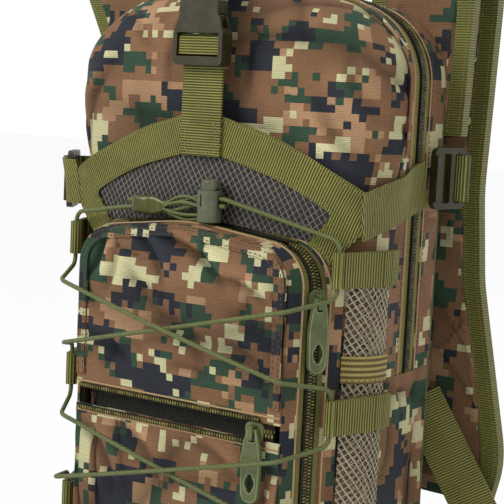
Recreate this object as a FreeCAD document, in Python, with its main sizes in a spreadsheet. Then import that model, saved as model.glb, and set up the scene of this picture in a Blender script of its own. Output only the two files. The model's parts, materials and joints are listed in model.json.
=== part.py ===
import FreeCAD, Part
import math
import os
import Sketcher

# Hunting backpack, millimetres. X runs across the bag, Y runs from front to back
# (the front is at -Y) and Z is up. The origin is on the ground, under the middle of
# the bag, at the plane that the depths of the front and back faces are measured from.

SIZES = {
    # main bag
    "bag_width": 188, "bag_crown": 416, "shoulder_drop": 24, "bag_front": 38,
    "bag_back": 42, "bag_foot_radius": 26, "bag_shoulder_radius": 42,
    "bag_crown_radius": 200, "front_edge_radius": 22, "fabric": 1.6, "gap": 0.3,
    "back_board": 2, "piping_radius": 1.2, "piping_drop": 94, "sleeve_drop": 60,
    # main zip
    "zip_drop": 210, "main_zip_depth": 13, "tape_width": 18, "tape_thick": 0.8,
    "coil_width": 5.5, "coil_height": 1.4, "tape_lap": 1.5,
    # front pocket
    "pocket_depth": 30, "pocket_inset": 12, "pocket_taper": 16, "pocket_drop": 142,
    "pocket_rise": 8, "pocket_rear_drop": 140, "pocket_rear_rise": 10,
    "pocket_foot": 22, "pocket_rear_foot": 12,
    "pocket_corner": 20, "pocket_rear_corner": 27, "pocket_foot_radius": 24,
    "pocket_rear_foot_radius": 34, "pocket_crown_radius": 120,
    "pocket_zip_from_bag": 14.3, "pocket_slot": 13, "mouth_left_inset": 20,
    "mouth_right_inset": 8, "mouth_drop": 12, "seam_band": 6, "seam_rise": 1.2,
    # lower pocket
    "lip_drop": 88, "lip_gap": 9, "lower_depth": 8, "lip_coil": 2.4,
    "closed_zip": 9,
    # stow flap
    "flap_inset": 3, "flap_bow": 12.5, "flap_lift": 12, "flap_drop": 75,
    "flap_knee_x": 50, "flap_knee_drop": 14, "flap_corner_drop": 38,
    "flap_side_height": 19, "flap_foot_drop": 22, "flap_foot_inset": 19, "mesh": 0.8,
    "flap_band": 20,
    # webbing and the centre strap
    "webbing": 25, "webbing_thick": 1.5, "centre_strap_lap": 24,
    # side-release buckle
    "buckle_drop": 52, "buckle_width": 31, "buckle_thick": 9, "ladder_length": 16.5,
    "buckle_length": 35, "buckle_mouth_width": 24, "buckle_wall": 1.8, "bar_low": 4.5,
    "bar_mid": 5, "prong_length": 17, "prong_width": 3.6, "prong_reach": 3,
    "male_base": 11,
    # ladder locks
    "lock_height": 33, "lock_length": 26, "lock_thick": 3.4, "lock_bar": 4,
    "lock_slot": 6.2, "lock_turn": 15, "strap_tilt": 14, "left_lock_turn": 31.3,
    "left_strap_reach": 10.5, "left_strap_run": 8, "left_strap_rise": 2.5,
    # cord lacing
    "cord": 3, "loop_height": 18, "loop_pitch": 75, "loop_drop": 8.5,
    "loop_eye_inset": 9, "loop_eye_lift": 12.5, "loop_wall": 1.4,
    "keeper_x": 28, "keeper_length": 22, "keeper_rise": 7, "lacing_lift": 20,
    "lock_x": 10.5, "barrel_radius": 6.5, "barrel_height": 16.5, "barrel_rise": 1.5,
    "button_radius": 4.6, "button_rise": 5.5, "button_travel": 3.5, "spring_wire": 0.8,
    # side nets
    "net_standoff": 0.4, "net_drop": 9.5, "net_foot": 14, "elastic_drop": 50,
    "elastic_height": 14,
    # zip sliders and pulls
    "slider_width": 9.6, "slider_length": 12, "slider_plate": 1.2, "pull_width": 12,
    "pull_length": 38, "pull_thick": 1.8, "pocket_slider_drop": 13,
    "lower_slider_inset": 13, "main_slider_rise": 56,
    # harness
    "strap_width": 62, "strap_thick": 8, "binding_width": 11, "strap_splay": 68,
    "strap_root_drop": 83, "strap_rise": 16, "strap_bend": 17, "strap_reach": 40,
    "strap_neck_drop": 114, "strap_waist_drop": 52, "strap_curve_drop": 100,
    "strap_end_drop": 22, "adjuster_length": 112, "adjuster_height": 31,
    "pad_thick": 8, "pad_drop": 98, "pad_height": 126, "pad_radius": 22,
    "lumbar_thick": 14, "lumbar_drop": 12, "lumbar_foot": 16, "lumbar_radius": 55,
    "haul_half": 30, "haul_rise": 24,
}

# Sizes that follow from the driving ones: heights hang from the crown, widths come
# from the bag's width and depths from its front.
FORMULAS = {
    "bag_shoulder": "bag_crown - shoulder_drop",
    "piping_start": "bag_crown - piping_drop",
    "zip_end": "bag_crown - zip_drop",
    "main_slider_height": "zip_end + main_slider_rise",
    "pocket_front": "bag_front + pocket_depth",
    "pocket_rear_width": "bag_width - 2 * pocket_inset",
    "pocket_front_width": "pocket_rear_width - 2 * pocket_taper",
    "pocket_shoulder": "bag_crown - pocket_drop",
    "pocket_crown": "pocket_shoulder + pocket_rise",
    "pocket_rear_shoulder": "bag_crown - pocket_rear_drop",
    "pocket_rear_crown": "pocket_rear_shoulder + pocket_rear_rise",
    "pocket_zip_depth": "bag_front + pocket_zip_from_bag",
    "mouth_left": "pocket_front_width / 2 - mouth_left_inset",
    "mouth_right": "pocket_front_width / 2 - mouth_right_inset",
    "mouth_low": "pocket_shoulder - mouth_drop",
    "pocket_slider_height": "mouth_low - pocket_slider_drop",
    "lip_high": "pocket_shoulder - lip_drop",
    "lip_low": "lip_high - lip_gap",
    "lower_slider_x": "pocket_front_width / 2 - lower_slider_inset",
    "flap_half": "bag_width / 2 - flap_inset",
    "flap_centre": "bag_front + flap_lift",
    "flap_side": "flap_centre - flap_bow",
    "flap_peak": "bag_crown - flap_drop",
    "flap_knee": "flap_peak - flap_knee_drop",
    "flap_corner": "flap_peak - flap_corner_drop",
    "flap_low_corner": "flap_corner - flap_side_height",
    "flap_foot": "flap_low_corner - flap_foot_drop",
    "flap_foot_half": "flap_half - flap_foot_inset",
    "centre_strap_foot": "flap_peak - centre_strap_lap",
    "buckle_foot": "bag_crown - buckle_drop",
    "loop_top": "pocket_shoulder - loop_drop",
    "loop_eye_x": "bag_width / 2 - loop_eye_inset",
    "loop_eye_y": "bag_front + loop_eye_lift",
    "keeper_height": "pocket_crown + keeper_rise",
    "lacing_depth": "bag_front + lacing_lift",
    "barrel_foot": "pocket_crown + barrel_rise",
    "net_top": "loop_top - net_drop",
    "elastic_low": "net_top - elastic_drop",
    "pad_high": "bag_crown - pad_drop",
    "pad_low": "pad_high - pad_height",
    "lumbar_high": "pad_low - lumbar_drop",
    "strap_root": "bag_crown - strap_root_drop",
    "strap_neck": "bag_crown - strap_neck_drop",
    "strap_waist": "strap_neck - strap_waist_drop",
    "strap_curve": "strap_waist - strap_curve_drop",
    "strap_end": "strap_curve - strap_end_drop",
}

doc = FreeCAD.newDocument("HuntingBackpack")
sheet = doc.addObject("Spreadsheet::Sheet", "Sizes")


class Size:
    """A length that carries its value and the sheet expression it comes from."""

    def __init__(self, value, text):
        self.value = float(value)
        self.text = text

    def __add__(self, other):
        return Size(self.value + number(other), "(%s + %s)" % (self.text, words(other)))

    def __radd__(self, other):
        return Size(number(other) + self.value, "(%s + %s)" % (words(other), self.text))

    def __sub__(self, other):
        return Size(self.value - number(other), "(%s - %s)" % (self.text, words(other)))

    def __rsub__(self, other):
        return Size(number(other) - self.value, "(%s - %s)" % (words(other), self.text))

    def __mul__(self, other):
        return Size(self.value * number(other), "(%s * %s)" % (self.text, words(other)))

    def __rmul__(self, other):
        return Size(number(other) * self.value, "(%s * %s)" % (words(other), self.text))

    def __truediv__(self, other):
        return Size(self.value / number(other), "(%s / %s)" % (self.text, words(other)))

    def __neg__(self):
        return Size(-self.value, "(0 - %s)" % self.text)

    def root(self):
        return Size(math.sqrt(self.value), "sqrt(%s)" % self.text)


def number(item):
    return item.value if isinstance(item, Size) else float(item)


def words(item):
    return item.text if isinstance(item, Size) else "%.6f" % item


def fill_sheet():
    """Write the sizes and their formulas into the sheet and return them by name."""
    cells = [(alias, str(value)) for alias, value in SIZES.items()]
    cells += [(alias, "=" + formula) for alias, formula in FORMULAS.items()]
    for row, (alias, content) in enumerate(cells, start=1):
        sheet.set("A%d" % row, alias.replace("_", " "))
        sheet.setAlias("B%d" % row, alias)
        sheet.set("B%d" % row, content)
    doc.recompute()
    return {alias: Size(sheet.get(alias), "Sizes." + alias) for alias, content in cells}


class Sizes:
    """The sheet's sizes as attributes."""


s = Sizes()
for alias, size in fill_sheet().items():
    setattr(s, alias, size)

nodes = []


def keep(item):
    """List an object as a node that is written out."""
    nodes.append(item)
    return item


# ---------------------------------------------------------------- sketches and features

def origin_plane(body, role):
    return next(item for item in body.Origin.OriginFeatures if item.Role == role)


def new_body(label):
    body = doc.addObject("PartDesign::Body", label)
    body.Label = label
    return body


def new_sketch(body, role, offset):
    """A sketch on one of the body's own origin planes, moved along its normal."""
    sketch = body.newObject("Sketcher::SketchObject", body.Name + "_sketch")
    sketch.AttachmentSupport = [(origin_plane(body, role), "")]
    sketch.MapMode = "FlatFace"
    place = FreeCAD.Placement(FreeCAD.Vector(0, 0, number(offset)), FreeCAD.Rotation())
    sketch.AttachmentOffset = place
    if isinstance(offset, Size):
        sketch.setExpression("AttachmentOffset.Base.z", offset.text)
    return sketch


def bind(sketch, constraints):
    """Add (kind, references, size) constraints and tie each one to the sheet."""
    first = sketch.ConstraintCount
    made = [Sketcher.Constraint(kind, *(list(refs) + [number(size)]))
            for kind, refs, size in constraints]
    sketch.addConstraint(made)
    for index, (kind, refs, size) in enumerate(constraints):
        if isinstance(size, Size):
            sketch.setExpression("Constraints[%d]" % (first + index), size.text)


def flat(point):
    return FreeCAD.Vector(number(point[0]), number(point[1]), 0)


def bend(before, corner, after, radius):
    """Start, end, centre and direction of the arc that rounds a corner."""
    back = (before - corner).normalize()
    ahead = (after - corner).normalize()
    half = back.getAngle(ahead) / 2
    reach = radius / math.tan(half)
    middle = (back + ahead).normalize()
    centre = corner + middle * (radius / math.sin(half))
    left = back.cross(ahead).z < 0
    return corner + back * reach, corner + ahead * reach, centre, left


def outline(sketch, corners, closed=True):
    """Draw a chain of straight runs whose corners may be rounded, fully constrained.

    A corner is (x, y) or (x, y, radius); each coordinate may be a Size.
    """
    count = len(corners)
    points = [flat(corner) for corner in corners]
    rounded = [len(corner) == 3 and (closed or 0 < i < count - 1)
               for i, corner in enumerate(corners)]
    starts, ends, arcs = list(points), list(points), {}
    for i in range(count):
        if rounded[i]:
            after = points[(i + 1) % count]
            starts[i], ends[i], centre, left = bend(
                points[i - 1], points[i], after, number(corners[i][2]))
            arcs[i] = (centre, left)
    runs = count if closed else count - 1
    base = sketch.GeometryCount
    lines = [Part.LineSegment(ends[i], starts[(i + 1) % count]) for i in range(runs)]
    sketch.addGeometry(lines, False)
    joints, sized = [], []
    for i in range(count):
        before = base + (i - 1) % runs if closed else base + i - 1
        line = base + i
        if not rounded[i]:
            if closed or 0 < i < count - 1:
                joints.append(Sketcher.Constraint("Coincident", before, 2, line, 1))
            hook = (line, 1) if i < runs else (before, 2)
            sized += [("DistanceX", (-1, 1) + hook, corners[i][0]),
                      ("DistanceY", (-1, 1) + hook, corners[i][1])]
            continue
        centre, left = arcs[i]
        first, last = (starts[i], ends[i]) if left else (ends[i], starts[i])
        circle = Part.Circle(centre, FreeCAD.Vector(0, 0, 1), number(corners[i][2]))
        angles = [math.atan2(p.y - centre.y, p.x - centre.x) for p in (first, last)]
        arc = sketch.addGeometry(Part.ArcOfCircle(circle, angles[0], angles[1]), False)
        point = sketch.addGeometry(Part.Point(points[i]), True)
        enter, leave = (1, 2) if left else (2, 1)
        joints += [Sketcher.Constraint("Tangent", before, 2, arc, enter),
                   Sketcher.Constraint("Tangent", arc, leave, line, 1),
                   Sketcher.Constraint("PointOnObject", point, 1, before),
                   Sketcher.Constraint("PointOnObject", point, 1, line)]
        sized += [("DistanceX", (-1, 1, point, 1), corners[i][0]),
                  ("DistanceY", (-1, 1, point, 1), corners[i][1]),
                  ("Radius", (arc,), corners[i][2])]
    sketch.addConstraint(joints)
    bind(sketch, sized)


def ring(sketch, x, y, radius):
    """Draw a full circle."""
    centre = FreeCAD.Vector(number(x), number(y), 0)
    circle = Part.Circle(centre, FreeCAD.Vector(0, 0, 1), number(radius))
    line = sketch.addGeometry(circle, False)
    bind(sketch, [("DistanceX", (-1, 1, line, 3), x), ("DistanceY", (-1, 1, line, 3), y),
                  ("Radius", (line,), radius)])


def draw(sketch, loops):
    for loop in loops:
        if isinstance(loop, tuple):
            ring(sketch, *loop)
        else:
            outline(sketch, loop)


def extrude(body, kind, role, loops, low, high):
    """Pad or pocket closed loops between two coordinates along the plane's normal."""
    start = -1 * high if role == "XZ_Plane" else low
    sketch = new_sketch(body, role, start)
    draw(sketch, loops)
    before = body.Shape.Volume if body.Tip else 0
    feature = body.newObject("PartDesign::" + kind, body.Name + "_" + kind.lower())
    feature.Profile = sketch
    depth = high - low
    feature.Length = number(depth)
    if isinstance(depth, Size):
        feature.setExpression("Length", depth.text)
    feature.Reversed = kind == "Pocket"
    body.Tip = feature
    doc.recompute()
    if kind == "Pocket" and body.Shape.Volume >= before:
        raise RuntimeError(body.Label + ": a pocket removed nothing")
    return feature


def pad(body, role, loops, low, high):
    return extrude(body, "Pad", role, loops, low, high)


def pocket(body, role, loops, low, high):
    return extrude(body, "Pocket", role, loops, low, high)


def round_edges(body, radius, chosen, kind="Fillet"):
    """Fillet or chamfer the edges that chosen(edge) picks from the body's tip."""
    base = body.Tip
    names = ["Edge%d" % (i + 1) for i, edge in enumerate(base.Shape.Edges) if chosen(edge)]
    if not names:
        raise RuntimeError(body.Label + ": no edge to round")
    feature = body.newObject("PartDesign::" + kind, body.Name + "_" + kind.lower())
    feature.Base = (base, names)
    key = "Radius" if kind == "Fillet" else "Size"
    setattr(feature, key, number(radius))
    if isinstance(radius, Size):
        feature.setExpression(key, radius.text)
    body.Tip = feature
    doc.recompute()
    return feature


def block(label, low, high):
    """A plain box between two corners, used to split shells."""
    box = doc.addObject("Part::Box", label)
    box.Label = label
    for key, a, b in zip(("Length", "Width", "Height"), low, high):
        span = b - a
        setattr(box, key, number(span))
        if isinstance(span, Size):
            box.setExpression(key, span.text)
    box.Placement.Base = FreeCAD.Vector(*[number(v) for v in low])
    for axis, v in zip("xyz", low):
        if isinstance(v, Size):
            box.setExpression("Placement.Base." + axis, v.text)
    return box


def combine(kind, label, base, tool):
    """A Part boolean of two objects: Common, Cut or Fuse."""
    item = doc.addObject("Part::" + kind, label)
    item.Label = label
    item.Base, item.Tool = base, tool
    doc.recompute()
    return item


def group(label, members):
    """Several separate solids kept together as one object."""
    item = doc.addObject("Part::Compound", label)
    item.Label = label
    item.Links = members
    return item


def mirrored(source, label):
    """The left-hand twin of a right-hand piece."""
    item = doc.addObject("Part::Mirroring", label)
    item.Label = label
    item.Source = source
    item.Normal = (1, 0, 0)
    return item


def place(item, x, y, z, turns=()):
    """Move an object to a point after turning it about its own origin."""
    rotation = FreeCAD.Rotation()
    for axis, angle in turns:
        rotation = FreeCAD.Rotation(FreeCAD.Vector(*axis), number(angle)) * rotation
    item.Placement = FreeCAD.Placement(
        FreeCAD.Vector(number(x), number(y), number(z)), rotation)
    for axis, v in zip("xyz", (x, y, z)):
        if isinstance(v, Size):
            item.setExpression("Placement.Base." + axis, v.text)
    return item


def pipe(label, role, path, start, profile_role, profile, offset=0):
    """Sweep a closed profile along a planar path of runs and arcs."""
    body = new_body(label)
    spine = new_sketch(body, role, offset)
    outline(spine, path, closed=False)
    section = new_sketch(body, profile_role,
                         -1 * start if profile_role == "XZ_Plane" else start)
    draw(section, [profile])
    feature = body.newObject("PartDesign::AdditivePipe", label + "_pipe")
    feature.Profile = section
    feature.Spine = (spine, [])
    feature.Transition = "Right corner"
    body.Tip = feature
    doc.recompute()
    return body


def rectangle(x_low, x_high, y_low, y_high):
    return [(x_low, y_low), (x_high, y_low), (x_high, y_high), (x_low, y_high)]


def rounded_rectangle(x_low, x_high, y_low, y_high, radius):
    return [corner + (radius,) for corner in rectangle(x_low, x_high, y_low, y_high)]


def parallel_to(axis, edge):
    """True for a straight edge along an axis."""
    if not isinstance(edge.Curve, Part.Line):
        return False
    ahead = edge.Vertexes[1].Point - edge.Vertexes[0].Point
    return ahead.cross(FreeCAD.Vector(*axis)).Length < 1e-6 * ahead.Length


# ---------------------------------------------------------------- outlines shared by pieces

def arch(half, foot, shoulder, crown, radii, inset=0):
    """A flat-bottomed arch: upright sides, round shoulders and a shallow crown."""
    rise = (crown - shoulder) / half
    stretch = (1 + rise * rise).root()
    side = half - inset
    eaves = shoulder - inset * (stretch - rise)
    foot_radius, shoulder_radius, crown_radius = [radius - inset for radius in radii]
    return [(-side, foot + inset, foot_radius), (side, foot + inset, foot_radius),
            (side, eaves, shoulder_radius), (0, crown - inset * stretch, crown_radius),
            (-side, eaves, shoulder_radius)]


def bag_outline(inset=0):
    radii = (s.bag_foot_radius, s.bag_shoulder_radius, s.bag_crown_radius)
    return arch(s.bag_width / 2, 0, s.bag_shoulder, s.bag_crown, radii, inset)


def bag_top():
    """Height of the crown, where its arc is highest."""
    rise = (s.bag_crown - s.bag_shoulder) / (s.bag_width / 2)
    return s.bag_crown - s.bag_crown_radius * ((1 + rise * rise).root() - 1)


def pocket_front_outline(inset=0):
    radii = (s.pocket_foot_radius, s.pocket_corner, s.pocket_crown_radius)
    return arch(s.pocket_front_width / 2, s.pocket_foot, s.pocket_shoulder,
                s.pocket_crown, radii, inset)


def pocket_rear_outline(inset=0):
    radii = (s.pocket_rear_foot_radius, s.pocket_rear_corner, s.pocket_crown_radius)
    return arch(s.pocket_rear_width / 2, s.pocket_rear_foot, s.pocket_rear_shoulder,
                s.pocket_rear_crown, radii, inset)


far = s.bag_crown * 2            # larger than the bag, for splitting boxes
piping_depth = -s.bag_front + s.front_edge_radius + 2
zip_front = s.main_zip_depth - s.tape_width / 2
zip_rear = s.main_zip_depth + s.tape_width / 2
board_front = s.bag_back - s.back_board
pocket_back = -s.bag_front - s.gap
pocket_face = -s.pocket_front
slot_front = -s.pocket_zip_depth - s.pocket_slot / 2
slot_rear = -s.pocket_zip_depth + s.pocket_slot / 2
half_bag = s.bag_width / 2


# ---------------------------------------------------------------- main bag

def make_front_panel():
    """The bag's front with its rounded edges, open at the back."""
    body = new_body("front_panel")
    pad(body, "XZ_Plane", [bag_outline()], -s.bag_front, piping_depth)
    face = -s.bag_front.value

    def on_front(edge):
        return all(abs(vertex.Point.y - face) < 1e-6 for vertex in edge.Vertexes)

    round_edges(body, s.front_edge_radius, on_front)
    solid = body.Tip
    rear = max(range(len(solid.Shape.Faces)),
               key=lambda i: solid.Shape.Faces[i].CenterOfMass.y)
    shell = body.newObject("PartDesign::Thickness", "front_panel_shell")
    shell.Base = (solid, ["Face%d" % (rear + 1)])
    shell.Value = s.fabric.value
    shell.setExpression("Value", s.fabric.text)
    shell.Reversed = True
    body.Tip = shell
    return keep(body)


def bag_band(label, outer, thick, front, rear):
    """A band that runs right round the bag between two depths."""
    body = new_body(label)
    pad(body, "XZ_Plane", [bag_outline(outer), bag_outline(outer + thick)], front, rear)
    return body


def above_zip_end(body, front, rear):
    """Cut the lower part of a band away, below the end of the zip."""
    pocket(body, "XZ_Plane", [rectangle(-far, far, -far, s.zip_end + s.gap)], front, rear)
    return keep(body)


def make_gussets():
    front = piping_depth + s.gap / 3
    above_zip_end(bag_band("front_gusset", 0, s.fabric, front, zip_front),
                  front, zip_front)
    above_zip_end(bag_band("rear_gusset", 0, s.fabric, zip_rear, board_front),
                  zip_rear, board_front)
    lower = bag_band("lower_gusset", 0, s.fabric, front, board_front)
    pocket(lower, "XZ_Plane", [rectangle(-far, far, s.zip_end, far)], front, board_front)
    keep(lower)


def make_main_zip():
    """The tape that closes the gap between the gussets, and the closed coil on it."""
    tape_front, tape_rear = zip_front + s.gap / 3, zip_rear - s.gap / 3
    inset = s.coil_height / 2
    above_zip_end(bag_band("main_zip_tape", inset, s.tape_thick, tape_front, tape_rear),
                  tape_front, tape_rear)
    coil_front = s.main_zip_depth - s.coil_width / 2
    coil_rear = s.main_zip_depth + s.coil_width / 2
    above_zip_end(bag_band("main_zip_teeth", inset - s.coil_height, s.coil_height,
                           coil_front, coil_rear), coil_front, coil_rear)


def make_back():
    """The stiffened back, its two pads and the sleeve that hangs inside it."""
    board = new_body("back_panel")
    pad(board, "XZ_Plane", [bag_outline()], board_front + s.gap / 3, s.bag_back)
    keep(board)
    sleeve = new_body("divider_sleeve")
    inset = s.fabric + s.gap
    pad(sleeve, "XZ_Plane", [bag_outline(inset)], board_front - 11, board_front - 10)
    pocket(sleeve, "XZ_Plane", [rectangle(-far, far, s.bag_shoulder - s.sleeve_drop, far)],
           board_front - 11, board_front - 10)
    keep(sleeve)
    rear = s.bag_back + s.gap
    upper = new_body("back_pad")
    half = half_bag - 32
    pad(upper, "XZ_Plane", [rounded_rectangle(-half, half, s.pad_low, s.pad_high,
                                               s.pad_radius)],
        rear, rear + s.pad_thick)
    round_edges(upper, s.pad_thick * 0.5, lambda edge: on_plane(edge, rear + s.pad_thick))
    keep(upper)
    lumbar = new_body("lumbar_pad")
    half = half_bag + 4
    pad(lumbar, "XZ_Plane", [rounded_rectangle(-half, half, s.lumbar_foot, s.lumbar_high,
                                                s.lumbar_radius)],
        rear, rear + s.lumbar_thick)
    round_edges(lumbar, s.lumbar_thick * 0.7,
                lambda edge: on_plane(edge, rear + s.lumbar_thick))
    keep(lumbar)


def on_plane(edge, depth):
    """True when an edge lies in the plane at this depth."""
    return all(abs(vertex.Point.y - number(depth)) < 1e-6 for vertex in edge.Vertexes)


def make_piping():
    """The corded edge over the top of the front panel."""
    outset = s.piping_radius + s.gap / 2
    path = bag_outline(-outset)
    side = path[1][0]
    over = [(side, s.piping_start), path[2], path[3], path[4], (-side, s.piping_start)]
    body = pipe("front_piping", "XZ_Plane", over, s.piping_start, "XY_Plane",
                (side, piping_depth, s.piping_radius), -1 * piping_depth)
    keep(body)


# ---------------------------------------------------------------- front pocket

def pocket_loft(label, outer, kind="PartDesign::AdditiveLoft", body=None):
    """The slanted block between the pocket's wide rear and its narrower front."""
    body = body or new_body(label)
    rear = new_sketch(body, "XZ_Plane", -1 * pocket_back)
    outline(rear, pocket_rear_outline(outer))
    front = new_sketch(body, "XZ_Plane", s.pocket_front)
    outline(front, pocket_front_outline(outer))
    loft = body.newObject(kind, body.Name + "_loft")
    loft.Profile = rear
    loft.Sections = [front]
    loft.Ruled = True
    body.Tip = loft
    doc.recompute()
    return body


def pocket_shell(label, outer, thick):
    """A slanted tube of fabric around the pocket."""
    body = pocket_loft(label, outer)
    return pocket_loft(label, outer + thick, "PartDesign::SubtractiveLoft", body)


def slice_of(label, shell, front, rear):
    """The part of a shell between two depths."""
    cutter = block(label + "_span", (-far, front, -far), (far, rear, far))
    return combine("Common", label, shell, cutter)


def without(label, base, low, high):
    """A piece with a box cut out of it."""
    return combine("Cut", label, base, block(label + "_notch", low, high))


zip_foot = s.pocket_foot + 38


def make_pocket_gussets():
    """Front and rear halves of the pocket's side wall, joined below the zip."""
    wall = pocket_shell("pocket_wall", 0, s.fabric)
    face = -s.pocket_front + s.fabric + s.gap / 3
    keep(slice_of("pocket_rear_gusset", wall, slot_rear, pocket_back))
    front = slice_of("pocket_front_part", wall, face, slot_rear - s.gap / 3)
    keep(without("pocket_front_gusset", front,
                 (-far, slot_front, zip_foot), (far, slot_rear, far)))


def make_pocket_zip():
    """Tape behind the slot, the closed coil, and the coil halves round the mouth."""
    tape = pocket_shell("pocket_tape_wall", s.fabric + s.gap / 3, s.tape_thick)
    span = slice_of("pocket_tape_span", tape, slot_front - s.tape_lap,
                    slot_rear + s.tape_lap)
    upper = without("pocket_tape_upper", span, (-far, -far, -far), (far, far, zip_foot))
    keep(without("pocket_zip_tape", upper, (-s.mouth_left, slot_front, s.mouth_low),
                 (s.mouth_right, slot_rear, far)))
    coil = pocket_shell("pocket_coil_wall", s.fabric + s.gap / 3 - s.coil_height,
                        s.coil_height)
    middle = -s.pocket_zip_depth
    closed = slice_of("pocket_coil_span", coil, middle - s.coil_width / 2,
                      middle + s.coil_width / 2)
    closed = without("pocket_coil_upper", closed, (-far, -far, -far),
                     (far, far, zip_foot + 2))
    closed = without("pocket_coil_closed", closed, (-s.mouth_left, -far, s.mouth_low),
                     (s.mouth_right, far, far))
    edges = []
    for name, front in (("front", slot_front + s.gap),
                        ("rear", slot_rear - s.gap - s.coil_width / 2)):
        strip = slice_of("pocket_coil_%s_span" % name, coil, front,
                         front + s.coil_width / 2)
        mouth = block("pocket_mouth_" + name, (s.gap - s.mouth_left, -far, s.mouth_low),
                      (s.mouth_right - s.gap, far, far))
        edges.append(combine("Common", "pocket_coil_" + name, strip, mouth))
    keep(group("pocket_zip_teeth", [closed] + edges))


def make_pocket_panels():
    """The two front panels, the folded band round the upper one and the divider."""
    face = -s.pocket_front
    upper = new_body("pocket_upper_panel")
    pad(upper, "XZ_Plane", [pocket_front_outline()], face, face + s.fabric)
    pocket(upper, "XZ_Plane", [rectangle(-far, far, -far, s.lip_high)],
           face, face + s.fabric)
    keep(upper)
    band = new_body("pocket_seam_band")
    pad(band, "XZ_Plane", [pocket_front_outline(0.5), pocket_front_outline(s.seam_band)],
        face - s.seam_rise - s.gap / 3, face - s.gap / 3)
    pocket(band, "XZ_Plane", [rectangle(-far, far, -far, s.lip_high + 8)],
           face - s.seam_rise - s.gap / 3, face - s.gap / 3)
    keep(band)
    lower = new_body("lower_pocket_panel")
    pad(lower, "XZ_Plane", [pocket_front_outline()], face, face + s.fabric)
    pocket(lower, "XZ_Plane", [rectangle(-far, far, s.lip_low, far)],
           face, face + s.fabric)
    keep(lower)
    back = face + s.fabric + s.lower_depth
    inset = s.fabric * 2 + s.tape_thick + 3
    divider = new_body("pocket_divider")
    pad(divider, "XZ_Plane", [pocket_front_outline(inset)], back, back + s.fabric)
    pocket(divider, "XZ_Plane", [rectangle(-far, far, s.lip_high + s.fabric, far)],
           back, back + s.fabric)
    half = s.pocket_front_width / 2 - inset
    pad(divider, "XY_Plane", [rectangle(-half, half, face + s.fabric + s.gap / 3, back)],
        s.lip_high, s.lip_high + s.fabric)
    keep(divider)


def make_lower_zip():
    """Teeth along both lips of the lower pocket, closed at the right-hand end."""
    face = -s.pocket_front - s.gap / 3
    front = face - s.coil_height
    half = s.pocket_front_width / 2 - 3
    split = half - s.closed_zip
    body = new_body("lower_zip_teeth")
    middle = (s.lip_low + s.lip_high) / 2
    top = s.lip_high + s.gap
    left = -half
    loops = [rectangle(left, split, top, top + s.lip_coil),
             rectangle(left, split, s.lip_low - s.lip_coil - s.gap, s.lip_low - s.gap)]
    teeth = []
    for name, loop in zip(("lower_teeth_top", "lower_teeth_bottom"), loops):
        strip = new_body(name)
        pad(strip, "XZ_Plane", [loop], front, face)
        teeth.append(strip)
    pad(body, "XZ_Plane", [rectangle(split + s.gap, half, middle - s.coil_width / 2,
                                     middle + s.coil_width / 2)], front, face)
    body.Label = "lower_teeth_closed"
    tape = new_body("lower_teeth_tape")
    pad(tape, "XZ_Plane", [rectangle(split + s.gap, half, s.lip_low + s.gap,
                                     s.lip_high - s.gap)], face + s.gap / 3,
        face + s.tape_thick)
    keep(group("lower_zip_teeth", teeth + [body, tape]))


# ---------------------------------------------------------------- stow flap

def flap_outline(grow=0):
    """The kite-shaped flap: a shallow peak, side corners and a narrow foot."""
    half = s.flap_half + grow
    right = [(s.flap_foot_half + grow, s.flap_foot), (half, s.flap_low_corner, 6),
             (half, s.flap_corner + grow, 4), (s.flap_knee_x, s.flap_knee + grow, 150)]
    left = [(-corner[0],) + corner[1:] for corner in reversed(right)]
    return right + [(0, s.flap_peak + grow, 30)] + left


def flap_window():
    """The opening of the webbing border that shows the mesh."""
    knee = s.flap_knee - s.flap_band
    foot = (s.flap_foot_half - s.flap_band * 0.9, s.flap_foot + 2)
    corner = (s.flap_half - s.flap_band * 0.75, s.flap_corner - s.flap_band * 0.55, 3)
    right = [foot, corner, (s.flap_knee_x, knee, 150)]
    left = [(-corner[0],) + corner[1:] for corner in reversed(right)]
    return right + [(0, s.flap_peak - s.flap_band, 30)] + left


def flap_layer(label, loops, lift, thick):
    """A layer of the flap, bowed forwards like a barrel stave."""
    bow = s.flap_centre - s.flap_side
    radius = (s.flap_half * s.flap_half + bow * bow) / (2 * bow)
    axis = -s.flap_centre + radius
    stave = new_body(label + "_stave")
    pad(stave, "XY_Plane", [(0, axis, radius + lift + thick), (0, axis, radius + lift)],
        s.flap_foot, s.flap_peak + 5)
    kite = new_body(label + "_kite")
    pad(kite, "XZ_Plane", loops, -far, -s.bag_front + 16)
    bowed = combine("Common", label + "_bowed", stave, kite)
    clearance = pocket_loft(label + "_clearance", -2 * s.gap)
    return keep(combine("Cut", label, bowed, clearance))


def make_flap():
    flap_layer("flap_mesh", [flap_outline()], 0, s.mesh)
    flap_layer("flap_webbing", [flap_outline(0.5), flap_window()],
               s.mesh + s.gap, s.webbing_thick)


# ---------------------------------------------------------------- centre strap and buckle

strap_face = -s.flap_centre - s.mesh - s.webbing_thick - 2 * s.gap - 0.1
strap_line = strap_face - s.webbing_thick / 2
hook_gap = 3.2
buckle_axis = strap_face - s.webbing_thick - hook_gap / 2


def webbing_profile(centre_x, centre_y, thick_along="y"):
    half, thin = s.webbing / 2, s.webbing_thick / 2
    if thick_along == "y":
        return rectangle(centre_x - half, centre_x + half, centre_y - thin, centre_y + thin)
    return rectangle(centre_x - thin, centre_x + thin, centre_y - half, centre_y + half)


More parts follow.
